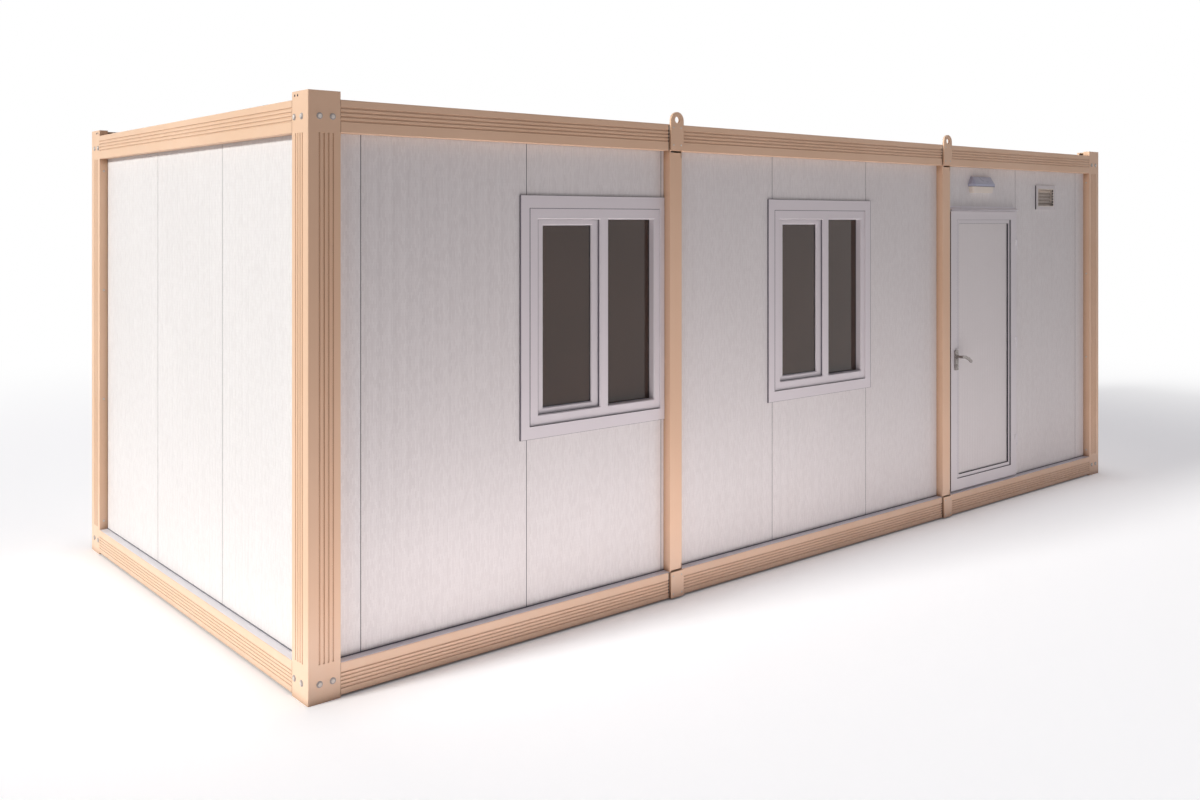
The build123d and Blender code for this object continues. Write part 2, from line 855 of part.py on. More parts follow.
def hinge_frame_halves():
    """Lower knuckles with the pin, each cranked back to a foot on the door frame."""
    foot_plane = panel_face - hinge_plate
    with BuildPart() as halves:
        for level in hinge_heights:
            base = Plane.XY.offset(level - knuckle_gap / 2 - knuckle_length)
            with BuildSketch(base):
                with Locations((hinge_x, hinge_y)):
                    Circle(barrel_radius)
                with Locations((hinge_x + barrel_radius, hinge_y)):
                    Rectangle(hinge_plate, foot_plane + hinge_plate - hinge_y, align=(Align.MAX, Align.MIN))
                with Locations((hinge_x + barrel_radius - hinge_plate, foot_plane)):
                    Rectangle(hinge_foot_reach, hinge_plate, align=(Align.MIN, Align.MIN))
            extrude(amount=knuckle_length)
            with BuildSketch(base):
                with Locations((hinge_x, hinge_y)):
                    Circle(pin_radius)
            extrude(amount=2 * knuckle_length + knuckle_gap)
    return halves.part


leaf_middle = facing(0, (leaf_face + leaf_inside) / 2, 0)


def handle_plates():
    """Long plates on both faces of the leaf, with the lock cylinder under the lever."""
    centre = handle_height + (plate_above - plate_below) / 2
    with BuildPart() as plates:
        with BuildSketch(facing(spindle_x, leaf_face, 0)):
            with Locations((0, centre)):
                RectangleRounded(2 * plate_half_width, plate_above + plate_below, handle_plate_corner)
            with Locations((0, handle_height)):
                Circle(neck_radius + neck_gap, mode=Mode.SUBTRACT)
        extrude(amount=handle_plate_thickness)
        with BuildSketch(facing(spindle_x, leaf_face, handle_height - cylinder_drop)):
            Circle(cylinder_radius)
            with Locations((0, -cylinder_tail / 2)):
                Rectangle(cylinder_radius, cylinder_tail)
        extrude(amount=handle_plate_thickness + cylinder_proud)
        mirror(about=leaf_middle)
    return plates.part


def door_lever():
    """Lever handles on both faces, joined by the spindle through the leaf."""
    outer_face = leaf_face - handle_plate_thickness
    arm_y = outer_face - lever_standoff
    with BuildPart() as lever:
        with BuildSketch(facing(spindle_x, leaf_face, handle_height)):
            Circle(neck_radius)
        extrude(amount=handle_plate_thickness + lever_standoff)
        with BuildSketch(facing(spindle_x, arm_y, handle_height)):
            with BuildLine(mode=Mode.PRIVATE) as droop:
                TangentArc((0, 0), (lever_reach, -lever_droop), tangent=(1, 0))
            SlotArc(droop.edge(), height=arm_width)
        extrude(amount=arm_thickness / 2, both=True)
        mirror(about=leaf_middle)
        with BuildSketch(facing(spindle_x, leaf_face, handle_height)):
            Circle(spindle_radius)
        extrude(amount=leaf_face - leaf_inside)
    return lever.part


# Lamp and vent
def lamp_tier(level, inset, rise, taper):
    """Slice of the lamp: a rounded block on the wall, its sides tapering away from the level."""
    base = Plane(origin=(door_centre + lamp_offset, panel_face, level))
    with BuildSketch(base) as outline:
        RectangleRounded(lamp_length - 2 * inset, 2 * (lamp_depth - inset), lamp_corner - inset)
    extrude(outline.sketch, amount=rise, taper=taper)


def lamp_hood():
    """Opaque hood with an upright edge, sloping back to the wall above it."""
    hood_level = head_rail_foot - lamp_drop - lamp_hood_rise
    with BuildPart() as hood:
        lamp_tier(hood_level, 0, lamp_hood_rise, lamp_hood_taper)
        lamp_tier(hood_level, 0, -lamp_band, 0)
        split(bisect_by=Plane.XZ.offset(-panel_face), keep=Keep.TOP)
    return hood.part


def lamp_diffuser():
    """Translucent cover under the hood."""
    diffuser_level = head_rail_foot - lamp_drop - lamp_hood_rise - lamp_band
    with BuildPart() as diffuser:
        lamp_tier(diffuser_level, lamp_diffuser_inset, -lamp_diffuser_height, lamp_diffuser_taper)
        split(bisect_by=Plane.XZ.offset(-panel_face), keep=Keep.TOP)
    return diffuser.part


def vent_grille():
    """Rim, sleeve through the wall and sloping blades, in one piece."""
    face = facing(vent_centre, panel_face, vent_level)
    hole_width = vent_width - 2 * vent_rim
    hole_height = vent_height - 2 * vent_rim
    sleeve_width = hole_width - 2 * vent_sleeve_clearance
    sleeve_height = hole_height - 2 * vent_sleeve_clearance
    inner_width = sleeve_width - 2 * vent_sleeve_wall
    inner_height = sleeve_height - 2 * vent_sleeve_wall
    pitch = inner_height / vent_blade_count
    with BuildPart() as grille:
        with BuildSketch(face):
            Rectangle(vent_width, vent_height)
            Rectangle(inner_width, inner_height, mode=Mode.SUBTRACT)
        extrude(amount=vent_proud)
        with BuildSketch(face):
            Rectangle(sleeve_width, sleeve_height)
            Rectangle(inner_width, inner_height, mode=Mode.SUBTRACT)
        extrude(amount=-panel_thickness)
        section = Plane(
            origin=(vent_centre - sleeve_width / 2, panel_face + vent_blade_depth / 2, vent_level),
            x_dir=(0, 1, 0),
            z_dir=(1, 0, 0),
        )
        with BuildSketch(section):
            with GridLocations(1, pitch, 1, vent_blade_count):
                Rectangle(vent_blade_depth, vent_blade_thickness, rotation=vent_blade_slope)
        extrude(amount=sleeve_width)
    return grille.part


# Assembly
front_left_post = corner_post()
front_right_post = mirrored(front_left_post, Plane.YZ)
save(front_left_post, "corner_post_front_left")
save(front_right_post, "corner_post_front_right")
save(mirrored(front_left_post, Plane.XZ), "corner_post_rear_left")
save(mirrored(front_right_post, Plane.XZ), "corner_post_rear_right")

for piece, name in [
    (mid_posts(), "mid_posts"),
    (lifting_lugs(), "lifting_lugs"),
    (long_rail(bottom_section, ground_gap), "bottom_rail"),
    (long_rail(top_section, head_rail_foot), "top_rail"),
]:
    save(piece, f"front_{name}")
    save(mirrored(piece, Plane.XZ), f"rear_{name}")

for piece, name in [
    (end_rail(bottom_section, ground_gap), "bottom_rail"),
    (end_rail(top_section, head_rail_foot), "top_rail"),
    (end_wall(), "wall_panels"),
]:
    save(piece, f"left_{name}")
    save(mirrored(piece, Plane.YZ), f"right_{name}")

save(base_plates(), "base_joint_plates")
save(sill_flashings(), "sill_flashings")
save(floor_joists(), "floor_joists")
save(room_board(joist_top, deck_thickness), "floor_deck")
save(roof_purlins(), "roof_purlins")
save(roof_sheet(), "roof_sheet")
save(room_board(head_rail_foot + steel - ceiling_thickness, ceiling_thickness), "ceiling_lining")
save(front_wall(), "front_wall_panels")
save(window_wall(), "window_wall_panels")
save(door_wall(), "door_head_panel")
save(vent_wall(), "vent_wall_panels")
save(rear_wall(), "rear_wall_panels")
save(window_frames(), "window_frames")
save(window_sashes(), "window_sashes")
save(window_glass(), "window_glass")
save(window_trims(), "window_trims")
save(door_frame(), "door_frame")
save(door_leaf(), "door_leaf")
save(door_infill(), "door_infill")
save(drip_cap(), "door_drip_cap")
save(hinge_leaf_halves(), "hinge_leaf_halves")
save(hinge_frame_halves(), "hinge_frame_halves")
save(handle_plates(), "door_handle_plates")
save(door_lever(), "door_lever")
save(lamp_hood(), "lamp_hood")
save(lamp_diffuser(), "lamp_diffuser")
save(vent_grille(), "vent_grille")
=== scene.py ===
# Portable site cabin: finishes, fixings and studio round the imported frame. Metres, Z up.
import bmesh
import bpy
import json
import math
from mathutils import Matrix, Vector


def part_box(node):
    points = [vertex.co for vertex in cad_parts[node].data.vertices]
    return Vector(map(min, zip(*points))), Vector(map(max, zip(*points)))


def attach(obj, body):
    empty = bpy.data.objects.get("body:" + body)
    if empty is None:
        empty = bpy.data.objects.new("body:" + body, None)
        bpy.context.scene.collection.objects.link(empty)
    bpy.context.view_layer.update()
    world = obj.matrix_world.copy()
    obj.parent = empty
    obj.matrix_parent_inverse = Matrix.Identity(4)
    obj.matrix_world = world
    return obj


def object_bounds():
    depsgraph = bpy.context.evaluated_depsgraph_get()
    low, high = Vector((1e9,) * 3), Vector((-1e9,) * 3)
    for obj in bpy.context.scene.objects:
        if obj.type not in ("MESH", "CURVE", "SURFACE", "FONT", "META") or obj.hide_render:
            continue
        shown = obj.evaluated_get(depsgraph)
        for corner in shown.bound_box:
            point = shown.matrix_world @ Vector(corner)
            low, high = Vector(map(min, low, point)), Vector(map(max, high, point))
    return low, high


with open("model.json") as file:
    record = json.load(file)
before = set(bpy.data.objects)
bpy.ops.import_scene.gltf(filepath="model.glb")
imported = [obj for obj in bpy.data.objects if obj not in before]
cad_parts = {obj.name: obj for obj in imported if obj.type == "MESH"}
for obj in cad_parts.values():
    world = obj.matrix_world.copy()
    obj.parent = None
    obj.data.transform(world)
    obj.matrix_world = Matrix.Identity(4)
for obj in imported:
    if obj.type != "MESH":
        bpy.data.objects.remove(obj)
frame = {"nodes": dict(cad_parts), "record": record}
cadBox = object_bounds()
cabinNodes = frame["nodes"]
print("frame loaded:", len(cabinNodes), "nodes")


# Colours are written as they look on a screen, 0 to 255
def screenColour(red, green, blue):
    linear = []
    for value in (red, green, blue):
        share = value / 255
        linear.append(share / 12.92 if share <= 0.04045 else ((share + 0.055) / 1.055) ** 2.4)
    return (*linear, 1.0)


# Small builders for shader nodes. A value is a constant or another node's socket
def setSocket(tree, socket, value):
    if isinstance(value, bpy.types.NodeSocket):
        tree.links.new(value, socket)
    else:
        socket.default_value = value


def addNode(tree, kind, values):
    node = tree.nodes.new("ShaderNode" + kind)
    for name, value in values.items():
        setSocket(tree, node.inputs[name], value)
    return node


def startMaterial(name):
    material = bpy.data.materials.new(name)
    material.use_nodes = True
    tree = material.node_tree
    return material, tree, tree.nodes["Principled BSDF"]


def partPlace(tree, stretch=(1, 1, 1)):  # place on the piece in metres, stretched along each axis
    coords = tree.nodes.new("ShaderNodeTexCoord")
    mapping = addNode(tree, "Mapping", {"Vector": coords.outputs["Object"], "Scale": stretch})
    return mapping.outputs["Vector"]


def splitVector(tree, vector):  # its X, Y and Z
    return addNode(tree, "SeparateXYZ", {"Vector": vector}).outputs


def noiseField(tree, scale, detail=3.0, stretch=(1, 1, 1)):
    values = {"Vector": partPlace(tree, stretch), "Scale": scale, "Detail": detail}
    return addNode(tree, "TexNoise", values).outputs["Fac"]


def mapRange(tree, value, fromLow, fromHigh, toLow=0.0, toHigh=1.0):
    limits = {"From Min": fromLow, "From Max": fromHigh, "To Min": toLow, "To Max": toHigh}
    node = addNode(tree, "MapRange", {"Value": value, **limits})
    node.interpolation_type = "SMOOTHSTEP"
    return node.outputs["Result"]


def mathNode(tree, operation, *values, kind="Math"):
    node = tree.nodes.new("ShaderNode" + kind)
    node.operation = operation
    for socket, value in zip(node.inputs, values):
        setSocket(tree, socket, value)
    return node.outputs["Value"]


def multiplied(tree, first, *others):
    result = first
    for value in others:
        result = mathNode(tree, "MULTIPLY", result, value)
    return result


def mixColour(tree, factor, first, second):
    node = tree.nodes.new("ShaderNodeMix")
    node.data_type = "RGBA"
    setSocket(tree, node.inputs["Factor"], factor)
    for socket, colour in zip(node.inputs[6:8], (first, second)):  # the two colour inputs
        setSocket(tree, socket, colour)
    return node.outputs[2]


def tintField(tree, colours, scale, detail=4.0, stretch=(1, 1, 1)):  # slow drift between two tints
    drift = mapRange(tree, noiseField(tree, scale, detail, stretch), 0.3, 0.7)
    return mixColour(tree, drift, *colours)


def softEdges(tree, radius):  # normal with rounded edges
    bevel = addNode(tree, "Bevel", {"Radius": radius})
    bevel.samples = 4
    return bevel.outputs["Normal"]


def edgeShare(tree, radius):  # 1 on sharp edges, 0 on flats
    flat = tree.nodes.new("ShaderNodeNewGeometry").outputs["Normal"]
    match = mathNode(tree, "DOT_PRODUCT", flat, softEdges(tree, radius), kind="VectorMath")
    return mapRange(tree, match, 0.98, 0.8)


def openShare(tree, reach):  # 1 in the open, 0 deep in a corner; it masks painted shade
    corners = addNode(tree, "AmbientOcclusion", {"Distance": reach})
    corners.samples = 8
    return corners.outputs["AO"]


def lowShare(tree, low, high):  # 1 under the low level, 0 over the high one
    return mapRange(tree, splitVector(tree, partPlace(tree))["Z"], low, high, 1.0, 0.0)


# Last step of every finish. The roughness drifts between two values with the sheen field,
# and each layer of bump is a height field, its strength and its distance
def finishShader(tree, shader, colour, sheen, roughness, layers, edgeRadius=0.0):
    tree.links.new(colour, shader.inputs["Base Color"])
    tree.links.new(mapRange(tree, sheen, 0.3, 0.7, *roughness), shader.inputs["Roughness"])
    normal = softEdges(tree, edgeRadius) if edgeRadius > 0 else None
    for height, strength, distance in layers:
        bump = addNode(tree, "Bump", {"Height": height, "Strength": strength, "Distance": distance})
        if normal is not None:
            tree.links.new(normal, bump.inputs["Normal"])
        normal = bump.outputs["Normal"]
    tree.links.new(normal, shader.inputs["Normal"])


# Finishes
coating = {
    "edgeRadius": 0.0012,
    "dustFoot": 0.02,  # full dust up to this level
    "dustNoise": (14, 6),  # scale and detail
    "wearAndHighlightNoise": (7, 5),
    "sheenNoise": (9, 5),
    "waves": (5, 1),
    "peel": (420, 2),
}


def coatedSteel(name, look):  # paint on sheet steel: drift, foot dust, painted shade in corners where a look asks for it, worn edges with a painted highlight, orange peel
    material, tree, shader = startMaterial(name)
    edge = coating["edgeRadius"]
    colour = tintField(tree, look["tints"], look["driftScale"])
    low = lowShare(tree, coating["dustFoot"], look["dustTop"])
    dust = multiplied(tree, low, noiseField(tree, *coating["dustNoise"]), look["dustShare"])
    colour = mixColour(tree, dust, colour, look["dustColour"])
    # painted shade: the paint darkens towards a brown where occlusion finds a corner, groove or return
    if "cornerShadeReach" in look:
        deep = mapRange(tree, openShare(tree, look["cornerShadeReach"]), 0.9, 0.2)
        colour = mixColour(tree, deep, colour, look["cornerShadeColour"])
    # worn edges, partly a painted highlight: sharp edges turn lighter in patches
    patches = noiseField(tree, *coating["wearAndHighlightNoise"])
    wornAndLitEdges = multiplied(tree, edgeShare(tree, edge), patches, look["wearAndHighlightShare"])
    colour = mixColour(tree, wornAndLitEdges, colour, look["wearAndHighlightColour"])
    sheen = noiseField(tree, *coating["sheenNoise"])
    waves = noiseField(tree, *coating["waves"])
    peel = noiseField(tree, *coating["peel"])
    layers = [(waves, 0.25, 0.0015), (peel, 0.12, 0.0002)]
    finishShader(tree, shader, colour, sheen, look["roughness"], layers, edge)
    return material


framePaintLook = {
    "tints": (screenColour(240, 202, 171), screenColour(234, 195, 163)),
    "driftScale": 1.3,
    "dustTop": 0.5,
    "dustShare": 0.5,
    "dustColour": screenColour(234, 214, 196),
    "cornerShadeReach": 0.06,  # painted shade in corners, grooves and returns
    "cornerShadeColour": screenColour(170, 129, 99),
    "wearAndHighlightShare": 0.35,
    "wearAndHighlightColour": screenColour(242, 218, 194),
    "roughness": (0.42, 0.52),
}

flashingLook = {
    "tints": (screenColour(245, 241, 245), screenColour(240, 236, 241)),
    "driftScale": 2.0,
    "dustTop": 0.3,
    "dustShare": 0.4,
    "dustColour": screenColour(214, 208, 202),
    "wearAndHighlightShare": 0.4,
    "wearAndHighlightColour": screenColour(240, 240, 244),
    "roughness": (0.30, 0.45),
}

ceilingLook = {
    "tints": (screenColour(238, 238, 236), screenColour(230, 230, 229)),
    "driftScale": 1.0,
    "dustTop": 0.1,
    "dustShare": 0.0,
    "dustColour": screenColour(220, 220, 220),
    "wearAndHighlightShare": 0.2,
    "wearAndHighlightColour": screenColour(245, 245, 245),
    "roughness": (0.5, 0.65),
}

panelLook = {
    "tints": (screenColour(238, 234, 233), screenColour(233, 229, 228)),
    "drift": (0.9, 5, (1, 1, 0.4)),  # scale, detail and stretch
    "dustLevels": (0.12, 0.75),
    "dustNoise": (7, 6),
    "dustShare": 0.3,
    "dustColour": screenColour(216, 207, 202),
    "roughness": (0.45, 0.6),
    "grain": (150, 3, (1, 1, 0.22)),  # the sheet's grain is drawn out upwards
    "dashLength": 0.031,  # embossed upright dashes
    "dashPitch": 0.0075,
    "dashGap": 0.0012,
    "dashDepth": 0.34,  # share of their shade
    "dashShade": screenColour(206, 199, 198),
}


def dashField(tree):  # staggered upright dashes on walls that face X or Y
    parts = splitVector(tree, partPlace(tree))
    across = mathNode(tree, "ADD", parts["X"], parts["Y"])
    wall = addNode(tree, "CombineXYZ", {"X": parts["Z"], "Y": across})
    values = {
        "Vector": wall.outputs["Vector"],
        "Color1": (0.25, 0.25, 0.25, 1),
        "Color2": (1, 1, 1, 1),
        "Mortar": (0, 0, 0, 1),
        "Scale": 1.0,
        "Brick Width": panelLook["dashLength"],
        "Row Height": panelLook["dashPitch"],
        "Mortar Size": panelLook["dashGap"],
        "Mortar Smooth": 0.6,
    }
    return addNode(tree, "TexBrick", values).outputs["Color"]


def panelSheet():  # embossed white sheet of the sandwich panels
    material, tree, shader = startMaterial("panelSheet")
    look = panelLook
    colour = tintField(tree, look["tints"], *look["drift"])
    low = lowShare(tree, *look["dustLevels"])
    dust = multiplied(tree, low, noiseField(tree, *look["dustNoise"]), look["dustShare"])
    grain = noiseField(tree, *look["grain"])
    dashes = dashField(tree)
    shade = mapRange(tree, dashes, 0.0, 1.0, look["dashDepth"], 0.0)
    colour = mixColour(tree, dust, colour, look["dustColour"])
    colour = mixColour(tree, shade, colour, look["dashShade"])
    dents = noiseField(tree, 2.2, 1)
    layers = [(dents, 0.2, 0.003), (grain, 0.25, 0.0006), (dashes, 0.4, 0.0004)]
    finishShader(tree, shader, colour, noiseField(tree, 6, 4), look["roughness"], layers)
    return material


galvanisedLook = {
    "tints": (screenColour(186, 190, 192), screenColour(158, 163, 167)),
    "stain": screenColour(196, 196, 192),
    "stainShare": 0.4,
    "spangleScale": 55,
    "metallic": 0.75,
    "roughness": (0.34, 0.52),
}


def galvanisedSteel():  # spangled zinc
    material, tree, shader = startMaterial("galvanisedSteel")
    look = galvanisedLook
    values = {"Vector": partPlace(tree), "Scale": look["spangleScale"]}
    spangle = addNode(tree, "TexVoronoi", values).outputs["Color"]
    flakes = addNode(tree, "SeparateColor", {"Color": spangle}).outputs
    colour = mixColour(tree, flakes["Red"], *look["tints"])
    stain = mapRange(tree, noiseField(tree, 3, 6), 0.5, 0.75, 0.0, look["stainShare"])
    colour = mixColour(tree, stain, colour, look["stain"])
    shader.inputs["Metallic"].default_value = look["metallic"]
    layers = [(noiseField(tree, 120, 3), 0.1, 0.0004)]
    finishShader(tree, shader, colour, flakes["Green"], look["roughness"], layers, 0.001)
    return material


deckLook = {
    "covering": (screenColour(158, 148, 138), screenColour(140, 131, 122)),
    "board": (screenColour(150, 118, 84), screenColour(120, 90, 60)),
    "grain": (40, 6, (0.08, 1, 1)),  # scale, detail and stretch
    "roughness": (0.55, 0.75),
}


def floorBoard():  # speckled covering on top, grained board underneath
    material, tree, shader = startMaterial("floorBoard")
    speckle = noiseField(tree, 260, 2)
    covering = mixColour(tree, mapRange(tree, speckle, 0.4, 0.6), *deckLook["covering"])
    grain = noiseField(tree, *deckLook["grain"])
    board = mixColour(tree, mapRange(tree, grain, 0.3, 0.7), *deckLook["board"])
    normal = tree.nodes.new("ShaderNodeNewGeometry").outputs["Normal"]
    upward = mapRange(tree, splitVector(tree, normal)["Z"], 0.4, 0.6)
    colour = mixColour(tree, upward, board, covering)
    layers = [(grain, 0.2, 0.0006), (speckle, 0.1, 0.0002)]
    finishShader(tree, shader, colour, grain, deckLook["roughness"], layers)
    return material


def mouldedPlastic(name, look):  # extruded or moulded plastic: faint draw lines, soft edges
    material, tree, shader = startMaterial(name)
    stretch = look.get("stretch", (1, 1, 1))
    colour = tintField(tree, look["tints"], 1.2, 3, stretch)
    lines = noiseField(tree, look["lineScale"], 2, stretch)
    grime = multiplied(tree, noiseField(tree, 60, 6), look["grimeShare"])
    colour = mixColour(tree, grime, colour, look["grimeColour"])
    shader.inputs["Subsurface Weight"].default_value = look.get("subsurface", 0.0)
    shader.inputs["Subsurface Scale"].default_value = 0.004
    layers = [(lines, 0.08, 0.0003)]
    finishShader(tree, shader, colour, noiseField(tree, 12, 4), look["roughness"], layers, 0.0014)
    return material


windowProfileLook = {
    "tints": (screenColour(232, 226, 229), screenColour(229, 223, 226)),
    "stretch": (1, 1, 0.15),
    "lineScale": 180,
    "grimeShare": 0.08,
    "grimeColour": screenColour(212, 205, 212),
    "roughness": (0.36, 0.42),
}

doorProfileLook = {
    "tints": (screenColour(232, 227, 229), screenColour(228, 223, 225)),
    "stretch": (1, 1, 0.15),
    "lineScale": 180,
    "grimeShare": 0.1,
    "grimeColour": screenColour(208, 202, 206),
    "roughness": (0.36, 0.44),
}

doorPanelLook = {
    "tints": (screenColour(237, 232, 231), screenColour(232, 227, 226)),
    "stretch": (1, 1, 0.12),
    "lineScale": 240,
    "grimeShare": 0.14,
    "grimeColour": screenColour(210, 203, 203),
    "roughness": (0.42, 0.56),
}

# grey-blue hood tint, partly the plastic's own colour and partly painted shade of the blue sky on its
# upward slope
lampHoodShadedLook = {
    "tints": (screenColour(184, 186, 207), screenColour(177, 179, 201)),
    "lineScale": 320,
    "grimeShare": 0.12,
    "grimeColour": screenColour(168, 169, 184),
    "roughness": (0.26, 0.4),
}

diffuserLook = {
    "tints": (screenColour(236, 227, 216), screenColour(230, 220, 208)),
    "lineScale": 260,
    "grimeShare": 0.15,
    "grimeColour": screenColour(216, 203, 188),
    "roughness": (0.32, 0.46),
    "subsurface": 0.05,
}

rubberLook = {
    "tints": (screenColour(62, 58, 66), screenColour(48, 45, 52)),
    "lineScale": 500,
    "grimeShare": 0.3,
    "grimeColour": screenColour(92, 88, 92),
    "roughness": (0.6, 0.8),
}

sealantLook = {
    "tints": (screenColour(112, 107, 115), screenColour(101, 97, 106)),
    "lineScale": 400,
    "grimeShare": 0.2,
    "grimeColour": screenColour(132, 127, 134),
    "roughness": (0.5, 0.7),
}

ventLook = {
    "rim": (screenColour(226, 220, 220), screenColour(218, 212, 212)),
    "blades": (screenColour(232, 222, 212), screenColour(224, 214, 204)),
    "rimWidth": 0.024,
    "blend": 0.0004,  # half the width of the line between the two
    "roughness": (0.4, 0.55),
}


def ventPlastic():  # rim and blades, told apart by place
    material, tree, shader = startMaterial("ventPlastic")
    look = ventLook
    low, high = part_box("vent_grille")
    parts = splitVector(tree, partPlace(tree))
    inside = []
    for axis, name in ((0, "X"), (2, "Z")):
        reach = (high[axis] - low[axis]) / 2 - look["rimWidth"]
        offset = mathNode(tree, "SUBTRACT", parts[name], (low[axis] + high[axis]) / 2)
        distance = mathNode(tree, "ABSOLUTE", offset)
        inside.append(mapRange(tree, distance, reach + look["blend"], reach - look["blend"]))
    rim = tintField(tree, look["rim"], 12)
    blades = tintField(tree, look["blades"], 30)
    colour = mixColour(tree, multiplied(tree, *inside), rim, blades)
    layers = [(noiseField(tree, 300, 2), 0.1, 0.0002)]
    finishShader(tree, shader, colour, noiseField(tree, 30, 4), look["roughness"], layers, 0.001)
    return material


glassLook = {
    "tints": (screenColour(118, 89, 74), screenColour(109, 82, 68)),
    "clarity": 0.72,
    "refraction": 1.5,
    "film": (0.02, 0.09),
}


def tintedGlass():  # bronze panes, dark against an unlit room
    material, tree, shader = startMaterial("tintedGlass")
    shader.inputs["Transmission Weight"].default_value = glassLook["clarity"]
    shader.inputs["IOR"].default_value = glassLook["refraction"]
    colour = tintField(tree, glassLook["tints"], 1.5)
    smear = noiseField(tree, 5, 6, (1, 1, 0.5))
    layers = [(noiseField(tree, 3, 1), 0.15, 0.0015)]
    finishShader(tree, shader, colour, smear, glassLook["film"], layers)
    return material


def brightMetal(name, look):  # brushed or plated metal, lighter along its edges as a painted highlight
    material, tree, shader = startMaterial(name)
    edge = 0.0008
    brush = noiseField(tree, look["brushScale"], 3, look.get("stretch", (1, 1, 1)))
    colour = mixColour(tree, mapRange(tree, brush, 0.35, 0.65), *look["tints"])
    # painted highlight: every sharp edge is mixed half way towards a lighter colour
    colour = mixColour(tree, multiplied(tree, edgeShare(tree, edge), 0.5), colour, look["edgeHighlightColour"])
    shader.inputs["Metallic"].default_value = look["metallic"]
    layers = [(brush, 0.08, 0.0002)]
    finishShader(tree, shader, colour, noiseField(tree, 40, 5), look["roughness"], layers, edge)
    return material


handleMetalLook = {
    "tints": (screenColour(160, 153, 149), screenColour(138, 131, 128)),
    "edgeHighlightColour": screenColour(206, 200, 196),
    "brushScale": 500,
    "stretch": (0.2, 1, 1),
    "metallic": 0.9,
    "roughness": (0.24, 0.36),
}

hingeSteelLook = {
    "tints": (screenColour(228, 223, 226), screenColour(219, 214, 218)),
    "edgeHighlightColour": screenColour(236, 233, 234),
    "brushScale": 380,
    "stretch": (1, 1, 0.2),
    "metallic": 0.25,
    "roughness": (0.3, 0.42),
}

fixingLook = {
    "tints": (screenColour(222, 213, 206), screenColour(205, 197, 191)),
    "edgeHighlightColour": screenColour(234, 228, 222),
    "brushScale": 700,
    "metallic": 0.35,
    "roughness": (0.36, 0.52),
}

washerLook = {
    "tints": (screenColour(182, 173, 170), screenColour(165, 157, 156)),
    "edgeHighlightColour": screenColour(204, 196, 192),
    "brushScale": 500,
    "metallic": 0.35,
    "roughness": (0.45, 0.6),
}

slotFinishes = {
    "frame_paint": coatedSteel("framePaint", framePaintLook),
    "panel_sheet": panelSheet(),
    "flashing_sheet": coatedSteel("flashingSheet", flashingLook),
    "galvanised_steel": galvanisedSteel(),
    "floor_board": floorBoard(),
    "ceiling_board": coatedSteel("ceilingBoard", ceilingLook),
    "window_profile": mouldedPlastic("windowProfile", windowProfileLook),
    "tinted_glass": tintedGlass(),
    "door_profile": mouldedPlastic("doorProfile", doorProfileLook),
    "door_panel": mouldedPlastic("doorPanel", doorPanelLook),
    "hinge_steel": brightMetal("hingeSteel", hingeSteelLook),
    "handle_metal": brightMetal("handleMetal", handleMetalLook),
    "lamp_plastic": mouldedPlastic("lampPlastic", lampHoodShadedLook),
    "lamp_diffuser": mouldedPlastic("lampDiffuser", diffuserLook),
    "vent_plastic": ventPlastic(),
}
rubber = mouldedPlastic("rubber", rubberLook)
sealant = mouldedPlastic("sealant", sealantLook)
fixingSteel = brightMetal("fixingSteel", fixingLook)
washerSteel = brightMetal("washerSteel", washerLook)

for row in frame["record"]["subparts"]:
    piece = cabinNodes[row["node"]]
    piece.data.materials.clear()
    piece.data.materials.append(slotFinishes[row["material_slot"]])
print("finishes set:", len(slotFinishes), "slots")


# Reading places off the frame
weldDistance = 1e-5
flatTolerance = 1e-4


def weldedCopy(nodeName):
    mesh = bmesh.new()
    mesh.from_mesh(cabinNodes[nodeName].data)
    bmesh.ops.remove_doubles(mesh, verts=mesh.verts, dist=weldDistance)
    return mesh


def groupBoxes(faces):  # box of each group of faces that share vertices
    waiting = set(faces)
    boxes = []
    while waiting:
        heap = [waiting.pop()]
        points = []
        while heap:
            face = heap.pop()
            for vertex in face.verts:
                points.append(vertex.co.copy())
                near = [other for other in vertex.link_faces if other in waiting]
                waiting.difference_update(near)
                heap.extend(near)
        low = Vector([min(point[axis] for point in points) for axis in range(3)])
        high = Vector([max(point[axis] for point in points) for axis in range(3)])
        boxes.append((low, high))
    return sorted(boxes, key=lambda box: (round(box[0].x, 3), round(box[0].y, 3), round(box[0].z, 3)))


def solidBoxes(nodeName):  # box of each separate solid in a node
    mesh = weldedCopy(nodeName)
    boxes = groupBoxes(mesh.faces)
    mesh.free()
    return boxes


def sideOf(value):  # -1 or 1
    return -1 if value < 0 else 1


def outerLevel(box, axis, side):  # where a box ends on one side
    return box[0 if side < 0 else 1][axis]


def faceBoxes(nodeName, axis, side):  # boxes of the outermost flat faces on one side of a node
    mesh = weldedCopy(nodeName)
    level = outerLevel(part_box(nodeName), axis, side)
    flat = [f for f in mesh.faces if all(abs(v.co[axis] - level) < flatTolerance for v in f.verts)]
    boxes = groupBoxes(flat)
    mesh.free()
    return boxes


# Small builders for closed meshes
def addBlock(mesh, low, high):
    points = []
    for x in (low[0], high[0]):
        for y in (low[1], high[1]):
            points += [mesh.verts.new((x, y, z)) for z in (low[2], high[2])]
    for order in ((0, 1, 3, 2), (4, 6, 7, 5), (0, 4, 5, 1), (2, 3, 7, 6), (0, 2, 6, 4), (1, 5, 7, 3)):
        mesh.faces.new([points[index] for index in order])


def addWallBlock(mesh, axis, depths, run, heights):  # limits through a wall, along it and upwards
    low = Vector((0, 0, heights[0]))
    high = Vector((0, 0, heights[1]))
    low[axis], high[axis] = sorted(depths)
    low[1 - axis], high[1 - axis] = run
    addBlock(mesh, low, high)


